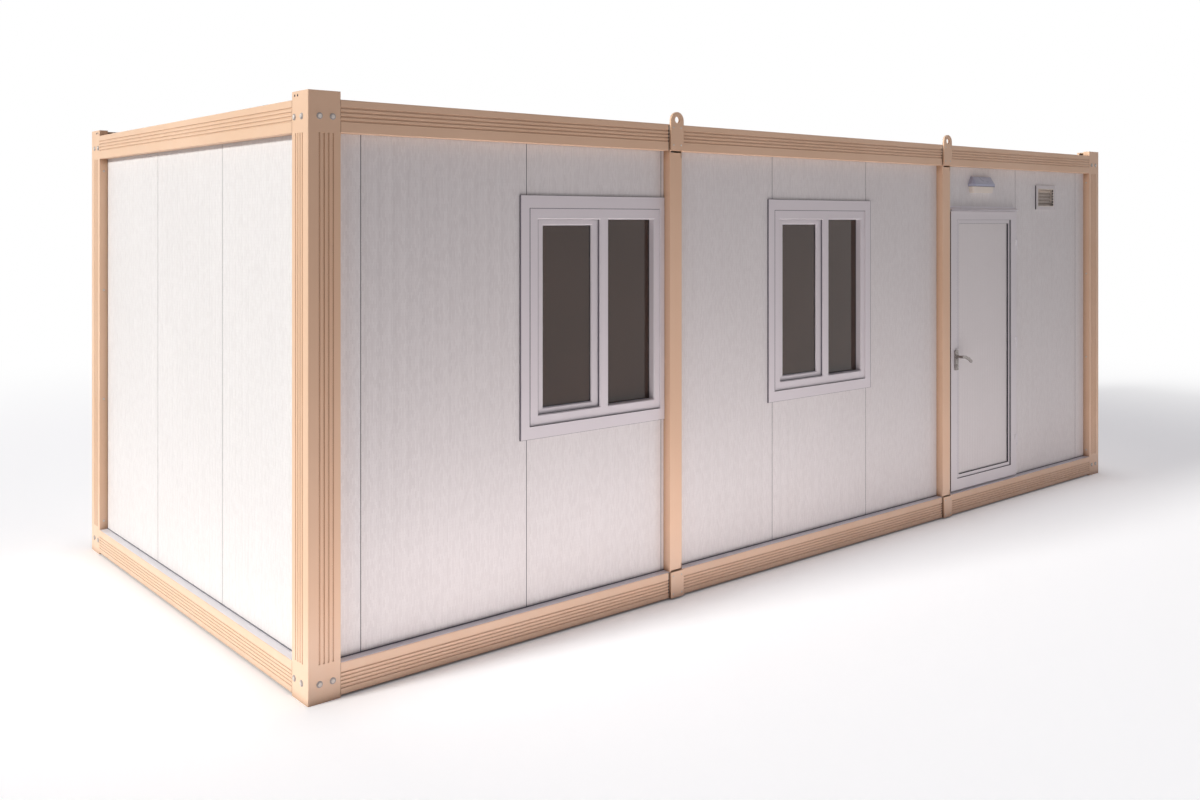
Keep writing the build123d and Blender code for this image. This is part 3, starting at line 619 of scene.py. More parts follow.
def addLoft(mesh, rings):  # closed body through rings of points, all of one count
    loops = [[mesh.verts.new(point) for point in ring] for ring in rings]
    for lower, upper in zip(loops, loops[1:]):
        for index in range(len(lower)):
            after = (index + 1) % len(lower)
            mesh.faces.new((lower[index], lower[after], upper[after], upper[index]))
    mesh.faces.new(list(reversed(loops[0])))
    mesh.faces.new(loops[-1])


def circlePoint(centre, outward, angle, radius, height):  # on a circle round a line that points outward
    aim = Vector((0, 0, 1)).rotation_difference(Vector(outward))
    return Vector(centre) + aim @ Vector((radius * math.cos(angle), radius * math.sin(angle), height))


def addTurned(mesh, profile, centre, outward, sides=20, turn=0.0):  # profile is (radius, height)
    angles = [turn + 2 * math.pi * index / sides for index in range(sides)]
    rings = []
    for radius, height in profile:
        rings.append([circlePoint(centre, outward, angle, radius, height) for angle in angles])
    addLoft(mesh, rings)


def addRing(mesh, centre, outward, profile, sides=32):  # turned ring, profile is (radius, height) all round
    loops = []
    for index in range(sides):
        angle = 2 * math.pi * index / sides
        ring = [circlePoint(centre, outward, angle, radius, height) for radius, height in profile]
        loops.append([mesh.verts.new(point) for point in ring])
    for ring, after in zip(loops, loops[1:] + loops[:1]):
        for step in range(len(profile)):
            other = (step + 1) % len(profile)
            mesh.faces.new((ring[step], ring[other], after[other], after[step]))


def finishPiece(mesh, name, material, body, crease=35):
    bmesh.ops.recalc_face_normals(mesh, faces=mesh.faces)
    data = bpy.data.meshes.new(name)
    mesh.to_mesh(data)
    mesh.free()
    data.polygons.foreach_set("use_smooth", [True] * len(data.polygons))
    data.set_sharp_from_angle(angle=math.radians(crease))
    data.materials.append(material)
    piece = bpy.data.objects.new(name, data)
    bpy.context.scene.collection.objects.link(piece)
    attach(piece, body)


# Fixings
hexBolt = {
    "washerOuter": 0.0142,
    "washerInner": 0.0088,
    "washerHeight": 0.002,
    "headRadius": 0.0094,
    "headHeight": 0.0042,
    "headBevel": 0.0009,
}
seating = 0.0002  # depth of a screw's or a bolt's foot in what it sits on


def addWasher(mesh, centre, outward):
    outer = hexBolt["washerOuter"]
    inner = hexBolt["washerInner"]
    lift = hexBolt["washerHeight"]
    profile = [(inner, 0.0), (inner, lift), (outer * 0.95, lift), (outer, lift * 0.6), (outer, 0.0)]
    addRing(mesh, centre, outward, profile, 28)


def addBolt(mesh, centre, outward, turn=0.0):  # hexagon head, seated in its washer
    head = hexBolt["headRadius"]
    lift = hexBolt["washerHeight"]
    top = lift + hexBolt["headHeight"]
    foot = [(head * 0.9, -seating), (head * 0.9, lift), (head * 0.8, lift)]
    addTurned(mesh, foot, centre, outward, 24)
    bevelled = top - hexBolt["headBevel"]
    hexagon = [(head, lift), (head, bevelled), (head * 0.82, top), (head * 0.4, top - 0.0003)]
    addTurned(mesh, hexagon, centre, outward, 6, turn)


# Outline of a low dome with a recess in the middle, as shares of the screw's radius and height
screwDome = ((1, 0.35), (0.86, 0.75), (0.6, 1), (0.42, 1), (0.34, 0.45), (0.1, 0.4))


def addScrew(mesh, centre, outward, radius, height):
    dome = [(radius * across, height * upward) for across, upward in screwDome]
    addTurned(mesh, [(radius, -seating)] + dome, centre, outward)


# Walls: every wall has its outward axis, its side and the nodes that its ribs lie on
walls = {
    "front": (1, -1, ["front_wall_panels", "window_wall_panels", "door_head_panel", "vent_wall_panels"]),
    "rear": (1, 1, ["rear_wall_panels"]),
    "left": (0, -1, ["left_wall_panels"]),
    "right": (0, 1, ["right_wall_panels"]),
}
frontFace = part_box("front_wall_panels")[0].y
cornerPosts = [name for name in sorted(cabinNodes) if name.startswith("corner_post")]

ribLook = {
    "pitch": 0.075,
    "base": 0.064,
    "top": 0.057,
    "height": 0.0007,
    "sink": 0.0002,
    "margin": 0.004,
}


def wallObstacles(side):  # boxes that a wall's ribs stop at
    boxes = [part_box(name) for name in cornerPosts]
    if side in ("front", "rear"):
        boxes += solidBoxes(f"{side}_mid_posts")
    if side == "front":
        boxes += solidBoxes("window_trims")
        boxes += [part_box(name) for name in ("vent_grille", "lamp_hood", "lamp_diffuser", "door_drip_cap")]
    return boxes


def clearSpans(low, high, place, across, obstacles):  # heights of a rib between what it meets
    spans = [(low, high)]
    reach = ribLook["base"] / 2
    for boxLow, boxHigh in obstacles:
        if place + reach < boxLow[across] or place - reach > boxHigh[across]:
            continue
        cut = []
        for start, end in spans:
            cut += [(start, min(end, boxLow.z)), (max(start, boxHigh.z), end)]
        spans = [(start, end) for start, end in cut if end - start > 2 * ribLook["margin"]]
    return spans


def evenPlaces(low, high, pitch):  # as many as fit between two limits, centred
    count = int((high - low) // pitch) + 1
    start = (low + high) / 2 - (count - 1) * pitch / 2
    return [start + index * pitch for index in range(count)]


def addRib(mesh, look, axis, side, level, place, heights):
    base = look["base"] / 2
    top = look["top"] / 2
    foot, crest = -look["sink"], look["height"]
    section = ((-base, foot), (-top, crest), (top, crest), (base, foot))
    rings = []
    for height in heights:
        ring = []
        for offset, rise in section:
            point = Vector((0, 0, height))
            point[axis] = level + side * rise
            point[1 - axis] = place + offset
            ring.append(point)
        rings.append(ring)
    addLoft(mesh, rings)


def panelRibs(wallName):  # fine upright ribs rolled into the panel sheets of one wall
    axis, side, names = walls[wallName]
    across = 1 - axis
    obstacles = wallObstacles(wallName)
    margin = ribLook["margin"]
    edge = margin + ribLook["base"] / 2
    mesh = bmesh.new()
    for low, high in [box for name in names for box in faceBoxes(name, axis, side)]:
        for place in evenPlaces(low[across] + edge, high[across] - edge, ribLook["pitch"]):
            for heights in clearSpans(low.z + margin, high.z - margin, place, across, obstacles):
                addRib(mesh, ribLook, axis, side, low[axis], place, heights)
    finishPiece(mesh, f"{wallName}PanelRibs", slotFinishes["panel_sheet"], "cabin", 60)


jointSeal = {"widest": 0.006, "recess": 0.0008, "depth": 0.006}


def panelJointSeals():  # dark rubber in the upright joints between panels
    mesh = bmesh.new()
    for axis, side, names in walls.values():
        across = 1 - axis
        faces = [box for name in names for box in faceBoxes(name, axis, side)]
        for firstLow, firstHigh in faces:
            outer = firstLow[axis] - side * jointSeal["recess"]
            inner = outer - side * jointSeal["depth"]
            for nextLow, nextHigh in faces:
                run = (firstHigh[across], nextLow[across])
                heights = (max(firstLow.z, nextLow.z), min(firstHigh.z, nextHigh.z))
                if heights[1] > heights[0] and 0 < run[1] - run[0] < jointSeal["widest"]:
                    addWallBlock(mesh, axis, (outer, inner), run, heights)
    finishPiece(mesh, "panelJointSeals", rubber, "cabin")


footSeal = {"height": 0.0045, "proud": 0.0035}


def panelFootSeals():  # dark strip between the panels and the sill flashing
    faces = {}
    for axis, side, names in walls.values():
        faces[axis, side] = outerLevel(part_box(names[0]), axis, side)
    mesh = bmesh.new()
    doorLow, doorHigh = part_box("door_frame")
    for low, high in solidBoxes("sill_flashings"):
        axis = 0 if high.x - low.x < high.y - low.y else 1
        side = sideOf(low[axis])
        face = faces[axis, side]
        runs = [(low[1 - axis], high[1 - axis])]
        if axis == 1 and side < 0 and low.x < doorLow.x < high.x:
            runs = [(low.x, doorLow.x), (doorHigh.x, high.x)]
        for run in runs:
            depths = (face, face + side * footSeal["proud"])
            addWallBlock(mesh, axis, depths, run, (high.z, high.z + footSeal["height"]))
    finishPiece(mesh, "panelFootSeals", sealant, "cabin")


railGapShadowLook = {"recess": 0.004, "depth": 0.006, "endInset": 0.003, "widest": 0.03}


def railGapShadowStrips():  # dark rubber strip in the gaps between the lengths of each long rail, standing in for the shade inside each gap
    look = railGapShadowLook
    mesh = bmesh.new()
    for name in sorted(cabinNodes):
        lengths = solidBoxes(name) if name.endswith(("top_rail", "bottom_rail")) else []
        for first, second in zip(lengths, lengths[1:]):
            run = (first[1].x, second[0].x)
            if 0 < run[1] - run[0] < look["widest"]:
                side = sideOf(first[0].y)
                outer = outerLevel(first, 1, side) - side * look["recess"]
                heights = (first[0].z + look["endInset"], first[1].z - look["endInset"])
                addWallBlock(mesh, 1, (outer, outer - side * look["depth"]), run, heights)
    finishPiece(mesh, "railGapShadowStrips", rubber, "cabin")


postBolts = {
    "alongFront": (0.054, 0.116),  # from the corner, on the long sides
    "alongEnd": (0.060, 0.130),  # and on the ends
    "foot": 0.083,
    "head": 0.110,  # below the post's top
    "turns": (0.3, 1.0),  # of each bolt's hexagon, in radians
    "plugs": (0.098, 0.125),
    "plugDrop": 0.018,
    "plugSize": (0.0055, 0.001),  # radius and height
}


def postFaces(nodeName):  # top of the outer corner, then the face to the long side and the end face
    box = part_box(nodeName)
    sideX = sideOf(box[0].x)
    sideY = sideOf(box[0].y)
    corner = Vector((outerLevel(box, 0, sideX), outerLevel(box, 1, sideY), box[1].z))
    front = {"outward": Vector((0, sideY, 0)), "inward": Vector((-sideX, 0, 0)), "steps": "alongFront"}
    end = {"outward": Vector((sideX, 0, 0)), "inward": Vector((0, -sideY, 0)), "steps": "alongEnd"}
    return corner, (front, end)


def frameBolts():  # pairs of bolts at the foot and the head of each post
    bolts = bmesh.new()
    washers = bmesh.new()
    for name in cornerPosts:
        corner, faces = postFaces(name)
        for face in faces:
            for turn, step in zip(postBolts["turns"], postBolts[face["steps"]]):
                for level in (postBolts["foot"], corner.z - postBolts["head"]):
                    place = corner + face["inward"] * step
                    place.z = level
                    addBolt(bolts, place, face["outward"], turn + level)
                    addWasher(washers, place, face["outward"])
    finishPiece(bolts, "frameBolts", fixingSteel, "cabin", 30)
    finishPiece(washers, "frameBoltWashers", washerSteel, "cabin", 30)


def postPlugs():  # two small plugged holes high on each end face
    mesh = bmesh.new()
    for name in cornerPosts:
        corner, faces = postFaces(name)
        end = faces[1]
        for step in postBolts["plugs"]:
            place = corner + end["inward"] * step
            place.z = corner.z - postBolts["plugDrop"]
            addScrew(mesh, place, end["outward"], *postBolts["plugSize"])
    finishPiece(mesh, "postPlugs", rubber, "cabin", 30)


returnScrewLook = {
    "levels": (0.204, 0.958, 1.632, 2.368),
    "depth": 0.026,  # behind the outer face
    "size": (0.0065, 0.003),  # radius and height
}


def returnScrews():  # screws in the turned-back edges of the posts
    mesh = bmesh.new()
    for name in cornerPosts:
        low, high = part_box(name)
        corner, faces = postFaces(name)
        for face in faces:
            reach = abs((high - low).dot(face["inward"]))
            for level in returnScrewLook["levels"]:
                place = corner + face["inward"] * reach - face["outward"] * returnScrewLook["depth"]
                place.z = level
                addScrew(mesh, place, face["inward"], *returnScrewLook["size"])
    finishPiece(mesh, "returnScrews", fixingSteel, "cabin", 30)


plateScrewLook = {
    "size": (0.0048, 0.0022),
    "lugSpread": 0.028,
    "lugDrops": (0.085, 0.180),
    "baseSpread": 0.031,
    "baseInset": 0.022,
}


def plateScrews():  # four screws in every lug and base plate
    look = plateScrewLook
    spots = []
    for name in ("front_lifting_lugs", "rear_lifting_lugs"):
        for box in solidBoxes(name):
            spots += [(box, look["lugSpread"], box[1].z - drop) for drop in look["lugDrops"]]
    for box in solidBoxes("base_joint_plates"):
        for level in (box[0].z + look["baseInset"], box[1].z - look["baseInset"]):
            spots.append((box, look["baseSpread"], level))
    mesh = bmesh.new()
    for box, spread, level in spots:
        side = sideOf(box[0].y)
        middle = (box[0].x + box[1].x) / 2
        for x in (middle - spread, middle + spread):
            addScrew(mesh, (x, outerLevel(box, 1, side), level), (0, side, 0), *look["size"])
    finishPiece(mesh, "plateScrews", fixingSteel, "cabin", 30)


for wallName in walls:
    panelRibs(wallName)
panelJointSeals()
panelFootSeals()
railGapShadowStrips()
frameBolts()
postPlugs()
returnScrews()
plateScrews()
print("walls and frame fixings done")


# Strip round an opening, butt-jointed, its outer edge inset from a box and its back on a face
# that looks to the front. Widths are at the left, the right, the foot and the head
def addStripRing(mesh, box, inset, widths, face, proud):
    leftWidth, rightWidth, footWidth, headWidth = widths
    left, right = box[0].x + inset, box[1].x - inset
    foot, head = box[0].z + inset, box[1].z - inset
    depths = (face - proud, face)
    heights = (foot + footWidth, head - headWidth)
    addWallBlock(mesh, 1, depths, (left, right), (foot, heights[0]))
    addWallBlock(mesh, 1, depths, (left, right), (heights[1], head))
    addWallBlock(mesh, 1, depths, (left, left + leftWidth), heights)
    if rightWidth > 0:
        addWallBlock(mesh, 1, depths, (right - rightWidth, right), heights)


# Windows
glazing = {
    "lap": 0.008,  # glass held behind the edge of its opening
    "widths": (0.004, 0.004, 0.003, 0.003),
    "proud": 0.0015,
}


def glazingSeals():  # black line where each pane meets its profile
    mesh = bmesh.new()
    for box in solidBoxes("window_glass"):
        addStripRing(mesh, box, glazing["lap"], glazing["widths"], box[0].y, glazing["proud"])
    finishPiece(mesh, "glazingSeals", rubber, "cabin")


trimSealShadowLook = {
    "sideWidth": 0.005,
    "edgeWidth": 0.0018,  # along the head and the foot
    "proud": 0.0065,
    "frameLap": 0.010,  # frame covered by the trim
    # painted shadow: the strip inside each frame is widest at the left and missing at the right
    "innerWidths": (0.006, 0.0, 0.0015, 0.003),
    "innerProud": 0.006,
    "postClearance": 0.01,
}


def trimSealsAndShadows():  # sealant round the trims, and between each trim and its frame; the strip inside each frame is widest at the left and missing at the right, a painted shadow of the trim
    mesh = bmesh.new()
    look = trimSealShadowLook
    width = look["sideWidth"]
    depths = (frontFace - look["proud"], frontFace)
    posts = solidBoxes("front_mid_posts")
    for low, high in solidBoxes("window_trims"):
        foot = low.z - look["edgeWidth"]
        head = high.z + look["edgeWidth"]
        meetsPost = any(abs(post[0].x - high.x) < look["postClearance"] for post in posts)
        end = high.x if meetsPost else high.x + width
        addWallBlock(mesh, 1, depths, (low.x - width, low.x), (foot, head))
        addWallBlock(mesh, 1, depths, (low.x, end), (high.z, head))
        addWallBlock(mesh, 1, depths, (low.x, end), (foot, low.z))
        if not meetsPost:
            addWallBlock(mesh, 1, depths, (high.x, end), (low.z, high.z))
    for box in solidBoxes("window_frames"):
        addStripRing(mesh, box, look["frameLap"], look["innerWidths"], box[0].y, look["innerProud"])
    finishPiece(mesh, "trimSealsAndShadows", sealant, "cabin")


sashSealShadeLook = {"widths": (0.002, 0.002, 0.001, 0.0015), "proud": 0.009}


def sashSealsAndShade():  # brush strip in the frame, in front of each sliding sash; its dark colour also paints the shade in the sash's reveal
    mesh = bmesh.new()
    for box in solidBoxes("window_sashes"):
        addStripRing(mesh, box, 0.0, sashSealShadeLook["widths"], box[0].y, sashSealShadeLook["proud"])
    finishPiece(mesh, "sashSealsAndShade", sealant, "cabin")


glazingSeals()
trimSealsAndShadows()
sashSealsAndShade()
print("windows done")


# Door
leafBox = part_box("door_leaf")
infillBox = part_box("door_infill")
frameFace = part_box("door_frame")[0].y

doorGasketShadowLook = {
    "inset": 0.006,
    "footLift": 0.003,
    "widths": (0.008, 0.008, 0.008, 0.008),
    "height": 0.0042,
}


def doorSealAndShadow():  # rubber on the frame, behind the leaf's flange; its dark colour also paints the shade in the gap beside the leaf
    look = doorGasketShadowLook
    box = (leafBox[0] + Vector((0, 0, look["footLift"])), leafBox[1])
    mesh = bmesh.new()
    addStripRing(mesh, box, look["inset"], look["widths"], frameFace, look["height"])
    finishPiece(mesh, "doorSealAndShadow", rubber, "cabin")


leafEdgeShadowLook = {"thickness": 0.0018, "faceInset": 0.0008, "depth": 0.0155, "endInset": 0.004}


def leafEdgePaintedShadow():  # painted shadow: a dark strip on the latch edge of the leaf, standing in for the shade there
    low, high = leafBox
    look = leafEdgeShadowLook
    near = low.y + look["faceInset"]
    heights = (low.z + look["endInset"], high.z - look["endInset"])
    mesh = bmesh.new()
    addWallBlock(mesh, 1, (near, near + look["depth"]), (low.x - look["thickness"], low.x), heights)
    finishPiece(mesh, "leafEdgePaintedShadow", rubber, "door")


beadSealShadowLook = {
    "infillLap": 0.010,  # infill held behind the bead
    "beadWidth": 0.026,
    "step": 0.006,
    "outerWidths": (0.0015, 0.007, 0.003, 0.0012),
    "outerProud": 0.0056,
    "innerWidths": (0.0015, 0.005, 0.003, 0.0012),
    "innerProud": 0.0095,
}


def beadSealsAndShadows():  # dark lines along both edges of the bead that holds the infill: rubber, widened at the right side as painted shade
    mesh = bmesh.new()
    look = beadSealShadowLook
    lap = look["infillLap"]
    ledge = leafBox[0].y + look["step"]
    addStripRing(mesh, infillBox, lap, look["innerWidths"], infillBox[0].y, look["innerProud"])
    addStripRing(mesh, infillBox, lap - look["beadWidth"], look["outerWidths"], ledge, look["outerProud"])
    finishPiece(mesh, "beadSealsAndShadows", rubber, "door")


infillRibs = {
    "pitch": 0.033,
    "base": 0.010,
    "top": 0.004,
    "height": 0.0006,
    "sink": 0.0002,
    "inset": 0.022,  # from the infill's hidden edge
}


def doorPanelRibs():  # the door's own sheet has the same fine ribs
    low, high = infillBox
    inset = infillRibs["inset"]
    heights = (low.z + inset, high.z - inset)
    mesh = bmesh.new()
    for place in evenPlaces(low.x + inset, high.x - inset, infillRibs["pitch"]):
        for side in (-1, 1):
            addRib(mesh, infillRibs, 1, side, outerLevel(infillBox, 1, side), place, heights)
    finishPiece(mesh, "doorPanelRibs", slotFinishes["door_panel"], "door", 60)


handleLook = {
    "plateThickness": 0.010,
    "spindleDrop": 0.045,  # plate's top to the spindle
    "keyDrop": 0.107,
    "screwInsets": (0.014, 0.128),
    "screwSize": (0.004, 0.0016),
    "collarInner": 0.0098,
    "collarOuter": 0.0145,
    "collarHeight": 0.003,
    "collarBevel": 0.001,
    "slotWidth": 0.0022,
    "slotHeight": 0.009,
    "slotDepths": (-0.0002, 0.0003),  # either side of the cylinder's face
}


def handlePlates():  # box and side of the outer plate and of the inner one
    plates = sorted(solidBoxes("door_handle_plates"), key=lambda box: box[0].y)
    return zip(plates, (-1, 1))


def handleFittings():  # screws and neck collars on both handle plates
    mesh = bmesh.new()
    look = handleLook
    inner, outer = look["collarInner"], look["collarOuter"]
    rise, bevel = look["collarHeight"], look["collarBevel"]
    collar = [(inner, 0.0), (inner, rise), (outer - bevel, rise), (outer, rise - bevel), (outer, 0.0)]
    for (low, high), side in handlePlates():
        middle = (low.x + high.x) / 2
        face = outerLevel(leafBox, 1, side) + side * look["plateThickness"]
        for inset in look["screwInsets"]:
            addScrew(mesh, (middle, face, high.z - inset), (0, side, 0), *look["screwSize"])
        addRing(mesh, (middle, face, high.z - look["spindleDrop"]), (0, side, 0), collar)
    finishPiece(mesh, "handleFittings", slotFinishes["handle_metal"], "door", 30)


def keySlots():  # dark slot in each face of the lock cylinder
    mesh = bmesh.new()
    look = handleLook
    for box, side in handlePlates():
        middle = (box[0].x + box[1].x) / 2
        level = box[1].z - look["keyDrop"]
        depths = [outerLevel(box, 1, side) + side * depth for depth in look["slotDepths"]]
        run = (middle - look["slotWidth"] / 2, middle + look["slotWidth"] / 2)
        heights = (level - look["slotHeight"] / 2, level + look["slotHeight"] / 2)
        addWallBlock(mesh, 1, depths, run, heights)
    finishPiece(mesh, "keySlots", rubber, "door")


hingeLook = {
    "plateThickness": 0.0025,
    "barrelRadius": 0.007,
    "plateScrews": (0.012, 0.026),  # heights on each half
    "leafInset": 0.010,  # from the plate's free edge
    "footInset": 0.008,
    "screwSize": (0.0038, 0.0014),
    "capRadius": 0.0062,
    "capHeight": 0.004,
    "capFoot": 0.0003,
}


def hingeScrews(nodeName, pieceName, body, atRight):
    look = hingeLook
    mesh = bmesh.new()
    for low, high in solidBoxes(nodeName):
        x = high.x - look["footInset"] if atRight else low.x + look["leafInset"]
        y = frameFace - look["plateThickness"] if atRight else low.y
        for height in look["plateScrews"]:
            addScrew(mesh, (x, y, low.z + height), (0, -1, 0), *look["screwSize"])
    finishPiece(mesh, pieceName, fixingSteel, body, 30)


def hingeCaps():  # domed caps on both ends of the hinge pins
    look = hingeLook
    barrel = look["barrelRadius"]
    radius = look["capRadius"]
    rise = look["capHeight"]
    dome = [(radius, look["capFoot"]), (radius, rise * 0.4)]
    dome += [(radius * 0.75, rise * 0.85), (radius * 0.2, rise)]
    names = ("hinge_frame_halves", "hinge_leaf_halves")
    halves = [sorted(solidBoxes(name), key=lambda box: box[0].z) for name in names]
    mesh = bmesh.new()
    for frameHalf, (leafLow, leafHigh) in zip(*halves):
        x, y = leafHigh.x - barrel, leafLow.y + barrel
        addTurned(mesh, dome, (x, y, leafHigh.z), (0, 0, 1), 24)
        addTurned(mesh, dome, (x, y, frameHalf[0].z), (0, 0, -1), 24)
    finishPiece(mesh, "hingeCaps", slotFinishes["hinge_steel"], "cabin", 30)


doorSealAndShadow()
leafEdgePaintedShadow()
beadSealsAndShadows()
doorPanelRibs()
handleFittings()
keySlots()
hingeScrews("hinge_leaf_halves", "hingeLeafScrews", "door", False)
hingeScrews("hinge_frame_halves", "hingeFrameScrews", "cabin", True)
hingeCaps()
print("door done")


# Lamp, vent and roof
lampRibLook = {
    "pitch": 0.011,
    "width": 0.0045,
    "height": 0.0012,
    "sink": 0.0003,
    "corner": 0.021,
    "taper": math.radians(12),
    "margin": 0.003,
}


def diffuserPath(low, high):  # points and outward directions round the diffuser's upper edge
    corner = lampRibLook["corner"]
    left, right, near = low.x + corner, high.x - corner, low.y + corner

    def rounded(x, angle):  # point and direction on a corner's arc
        out = Vector((math.cos(angle), math.sin(angle), 0))
        return Vector((x, near, 0)) + out * corner, out

    stretches = (  # length, and what lies at a run along it
        (high.y - near, lambda run: (Vector((low.x, high.y - run, 0)), Vector((-1, 0, 0)))),
        (corner * math.pi / 2, lambda run: rounded(left, math.pi + run / corner)),
        (right - left, lambda run: (Vector((left + run, low.y, 0)), Vector((0, -1, 0)))),
        (corner * math.pi / 2, lambda run: rounded(right, 1.5 * math.pi + run / corner)),
        (high.y - near, lambda run: (Vector((high.x, near + run, 0)), Vector((1, 0, 0)))),
    )
    total = sum(length for length, place in stretches)
    count = int(total // lampRibLook["pitch"])
    spots = []
    for index in range(count):
        run = (index + 0.5) * total / count
        for length, place in stretches:
            if run < length:
                spots.append(place(run))
                break
            run -= length
    return spots


def lampRibs():  # upright ribs moulded on the diffuser
    low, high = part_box("lamp_diffuser")
    look = lampRibLook
    mesh = bmesh.new()
    for spot, out in diffuserPath(low, high):
        along = Vector((-out.y, out.x, 0)) * look["width"]
        rings = []
        for level in (high.z - look["margin"], low.z + look["margin"]):
            inward = (high.z - level) * math.tan(look["taper"])
            base = spot - out * (inward + look["sink"]) + Vector((0, 0, level))
            top = base + out * look["height"]
            rings.append([base - along / 2, top - along / 4, top + along / 4, base + along / 2])
        addLoft(mesh, rings)
    finishPiece(mesh, "lampRibs", slotFinishes["lamp_diffuser"], "cabin", 60)


lampSealLook = {"thickness": 0.003, "inset": 0.002, "lap": 0.0002, "cornerSteps": 6}


def lampSeal():  # dark line where the hood meets the diffuser
    low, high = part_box("lamp_hood")
    look = lampSealLook
    corner = lampRibLook["corner"]
    left, right = low.x + look["inset"], high.x - look["inset"]
    near = low.y + look["inset"] + corner
    rings = []
    for level in (low.z - look["thickness"], low.z + look["lap"]):
        ring = [Vector((right, high.y, level)), Vector((left, high.y, level))]
        for x, start in ((left + corner, math.pi), (right - corner, 1.5 * math.pi)):
            for step in range(look["cornerSteps"] + 1):
                angle = start + step * math.pi / 2 / look["cornerSteps"]
                ring.append(Vector((x + corner * math.cos(angle), near + corner * math.sin(angle), level)))
        rings.append(ring)
    mesh = bmesh.new()
    addLoft(mesh, rings)
    finishPiece(mesh, "lampSeal", sealant, "cabin")


ventPaintedShadowLook = {
    "edge": 0.0018,
    "faceInset": 0.0006,
    "sleeve": 0.005,  # sleeve and its gap, inside the rim
    "markCount": 6,
    "markInset": 0.001,
    "markShare": 0.55,
    "markWidth": 0.006,
}


def ventPaintedShadows():  # painted shadow: a dark edge on the rim's left side, and dark marks at the right ends of the blades, where shade falls
    low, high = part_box("vent_grille")
    look = ventPaintedShadowLook
    edge = look["edge"]
    mesh = bmesh.new()
    depths = (low.y + look["faceInset"], frontFace)
    addWallBlock(mesh, 1, depths, (low.x - edge, low.x), (low.z + edge, high.z - edge))
    border = ventLook["rimWidth"] + look["sleeve"]
    right = high.x - border
    pitch = (high.z - low.z - 2 * border) / look["markCount"]
    half = pitch * look["markShare"] / 2
    depths = (low.y + look["markInset"], frontFace + look["markInset"])
    for index in range(look["markCount"]):
        middle = low.z + border + (index + 0.5) * pitch
        addWallBlock(mesh, 1, depths, (right - look["markWidth"], right), (middle - half, middle + half))
    finishPiece(mesh, "ventPaintedShadows", rubber, "cabin")


ventScrewLook = {"inset": 0.012, "size": (0.0035, 0.0012)}


def ventScrews():  # one in each corner of the rim
    low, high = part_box("vent_grille")
    inset = ventScrewLook["inset"]
    mesh = bmesh.new()
    for x in (low.x + inset, high.x - inset):
        for z in (low.z + inset, high.z - inset):
            addScrew(mesh, (x, low.y, z), (0, -1, 0), *ventScrewLook["size"])
    finishPiece(mesh, "ventScrews", fixingSteel, "cabin", 30)


roofScrewLook = {"size": (0.008, 0.005), "sheet": 0.002, "flangeReach": 0.02}


def roofScrews():  # screws in the pans of the roof sheet, over every purlin
    ribs = sorted(faceBoxes("roof_sheet", 2, 1), key=lambda box: box[0].y)
    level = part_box("roof_sheet")[0].z + roofScrewLook["sheet"]
    mesh = bmesh.new()
    for purlin in solidBoxes("roof_purlins"):
        x = purlin[0].x + roofScrewLook["flangeReach"]
        for nearRib, farRib in zip(ribs, ribs[1:]):
            y = (nearRib[1].y + farRib[0].y) / 2
            addScrew(mesh, (x, y, level), (0, 0, 1), *roofScrewLook["size"])
    finishPiece(mesh, "roofScrews", fixingSteel, "cabin", 30)


lampRibs()
lampSeal()
ventPaintedShadows()
ventScrews()
roofScrews()
print("lamp, vent and roof done")


# Studio: a pale floor, a white surround, a soft sun from the left and the sky
studio = {
    "floorReach": 60.0,
    "floorColour": screenColour(246, 245, 246),
    "floorRoughness": 0.9,
    "floorShine": 0.1,
    "floorLift": 0.43,  # white added to the floor where it is seen, not where it lights
    "contactShadowReach": 0.35,  # less of it in corners this near, a painted contact shadow
    "fade": (5.0, 12.0),  # distances at which the floor starts to fade and is white
    "bounceStrength": 2.8,  # the floor's glow on the walls, at the left of the front
    "bounceRight": 0.33,  # share of that at the right
    "bounceRear": 0.5,  # and behind the cabin
    "bounceRise": (0.0, 0.5),  # away from the walls
    "bounceFall": (0.7, 2.0),
    "bounceStart": 0.7,  # it starts this far left of the cabin, so the sunny end gets little
    "bounceColour": (1.0, 0.915, 0.92, 1.0),
    "horizonColour": (1.0, 0.865, 0.85, 1.0),
    "zenithColour": (0.6, 0.64, 0.88, 1.0),
    "skyBand": (0.3, 0.95),
    "skyStrength": (0.255, 0.2),  # at the horizon and overhead
    "sideShares": (1.1, 0.7),  # of that, from the right and from the left
    "sunStrength": 2.75,
    "sunColour": (0.985, 1.0, 0.97),
    "sunAngle": 9.0,  # soft edge, in degrees
    "sunHeight": 24.0,
    "sunBehind": 7.0,  # degrees behind the front wall
}
white = (1, 1, 1, 1)


def seenRays(tree):  # 1 for rays that show the surround: camera, mirror and see-through ones
    paths = tree.nodes.new("ShaderNodeLightPath").outputs
    first = mathNode(tree, "MAXIMUM", paths["Is Camera Ray"], paths["Is Glossy Ray"])
    return mathNode(tree, "MAXIMUM", first, paths["Is Transmission Ray"])


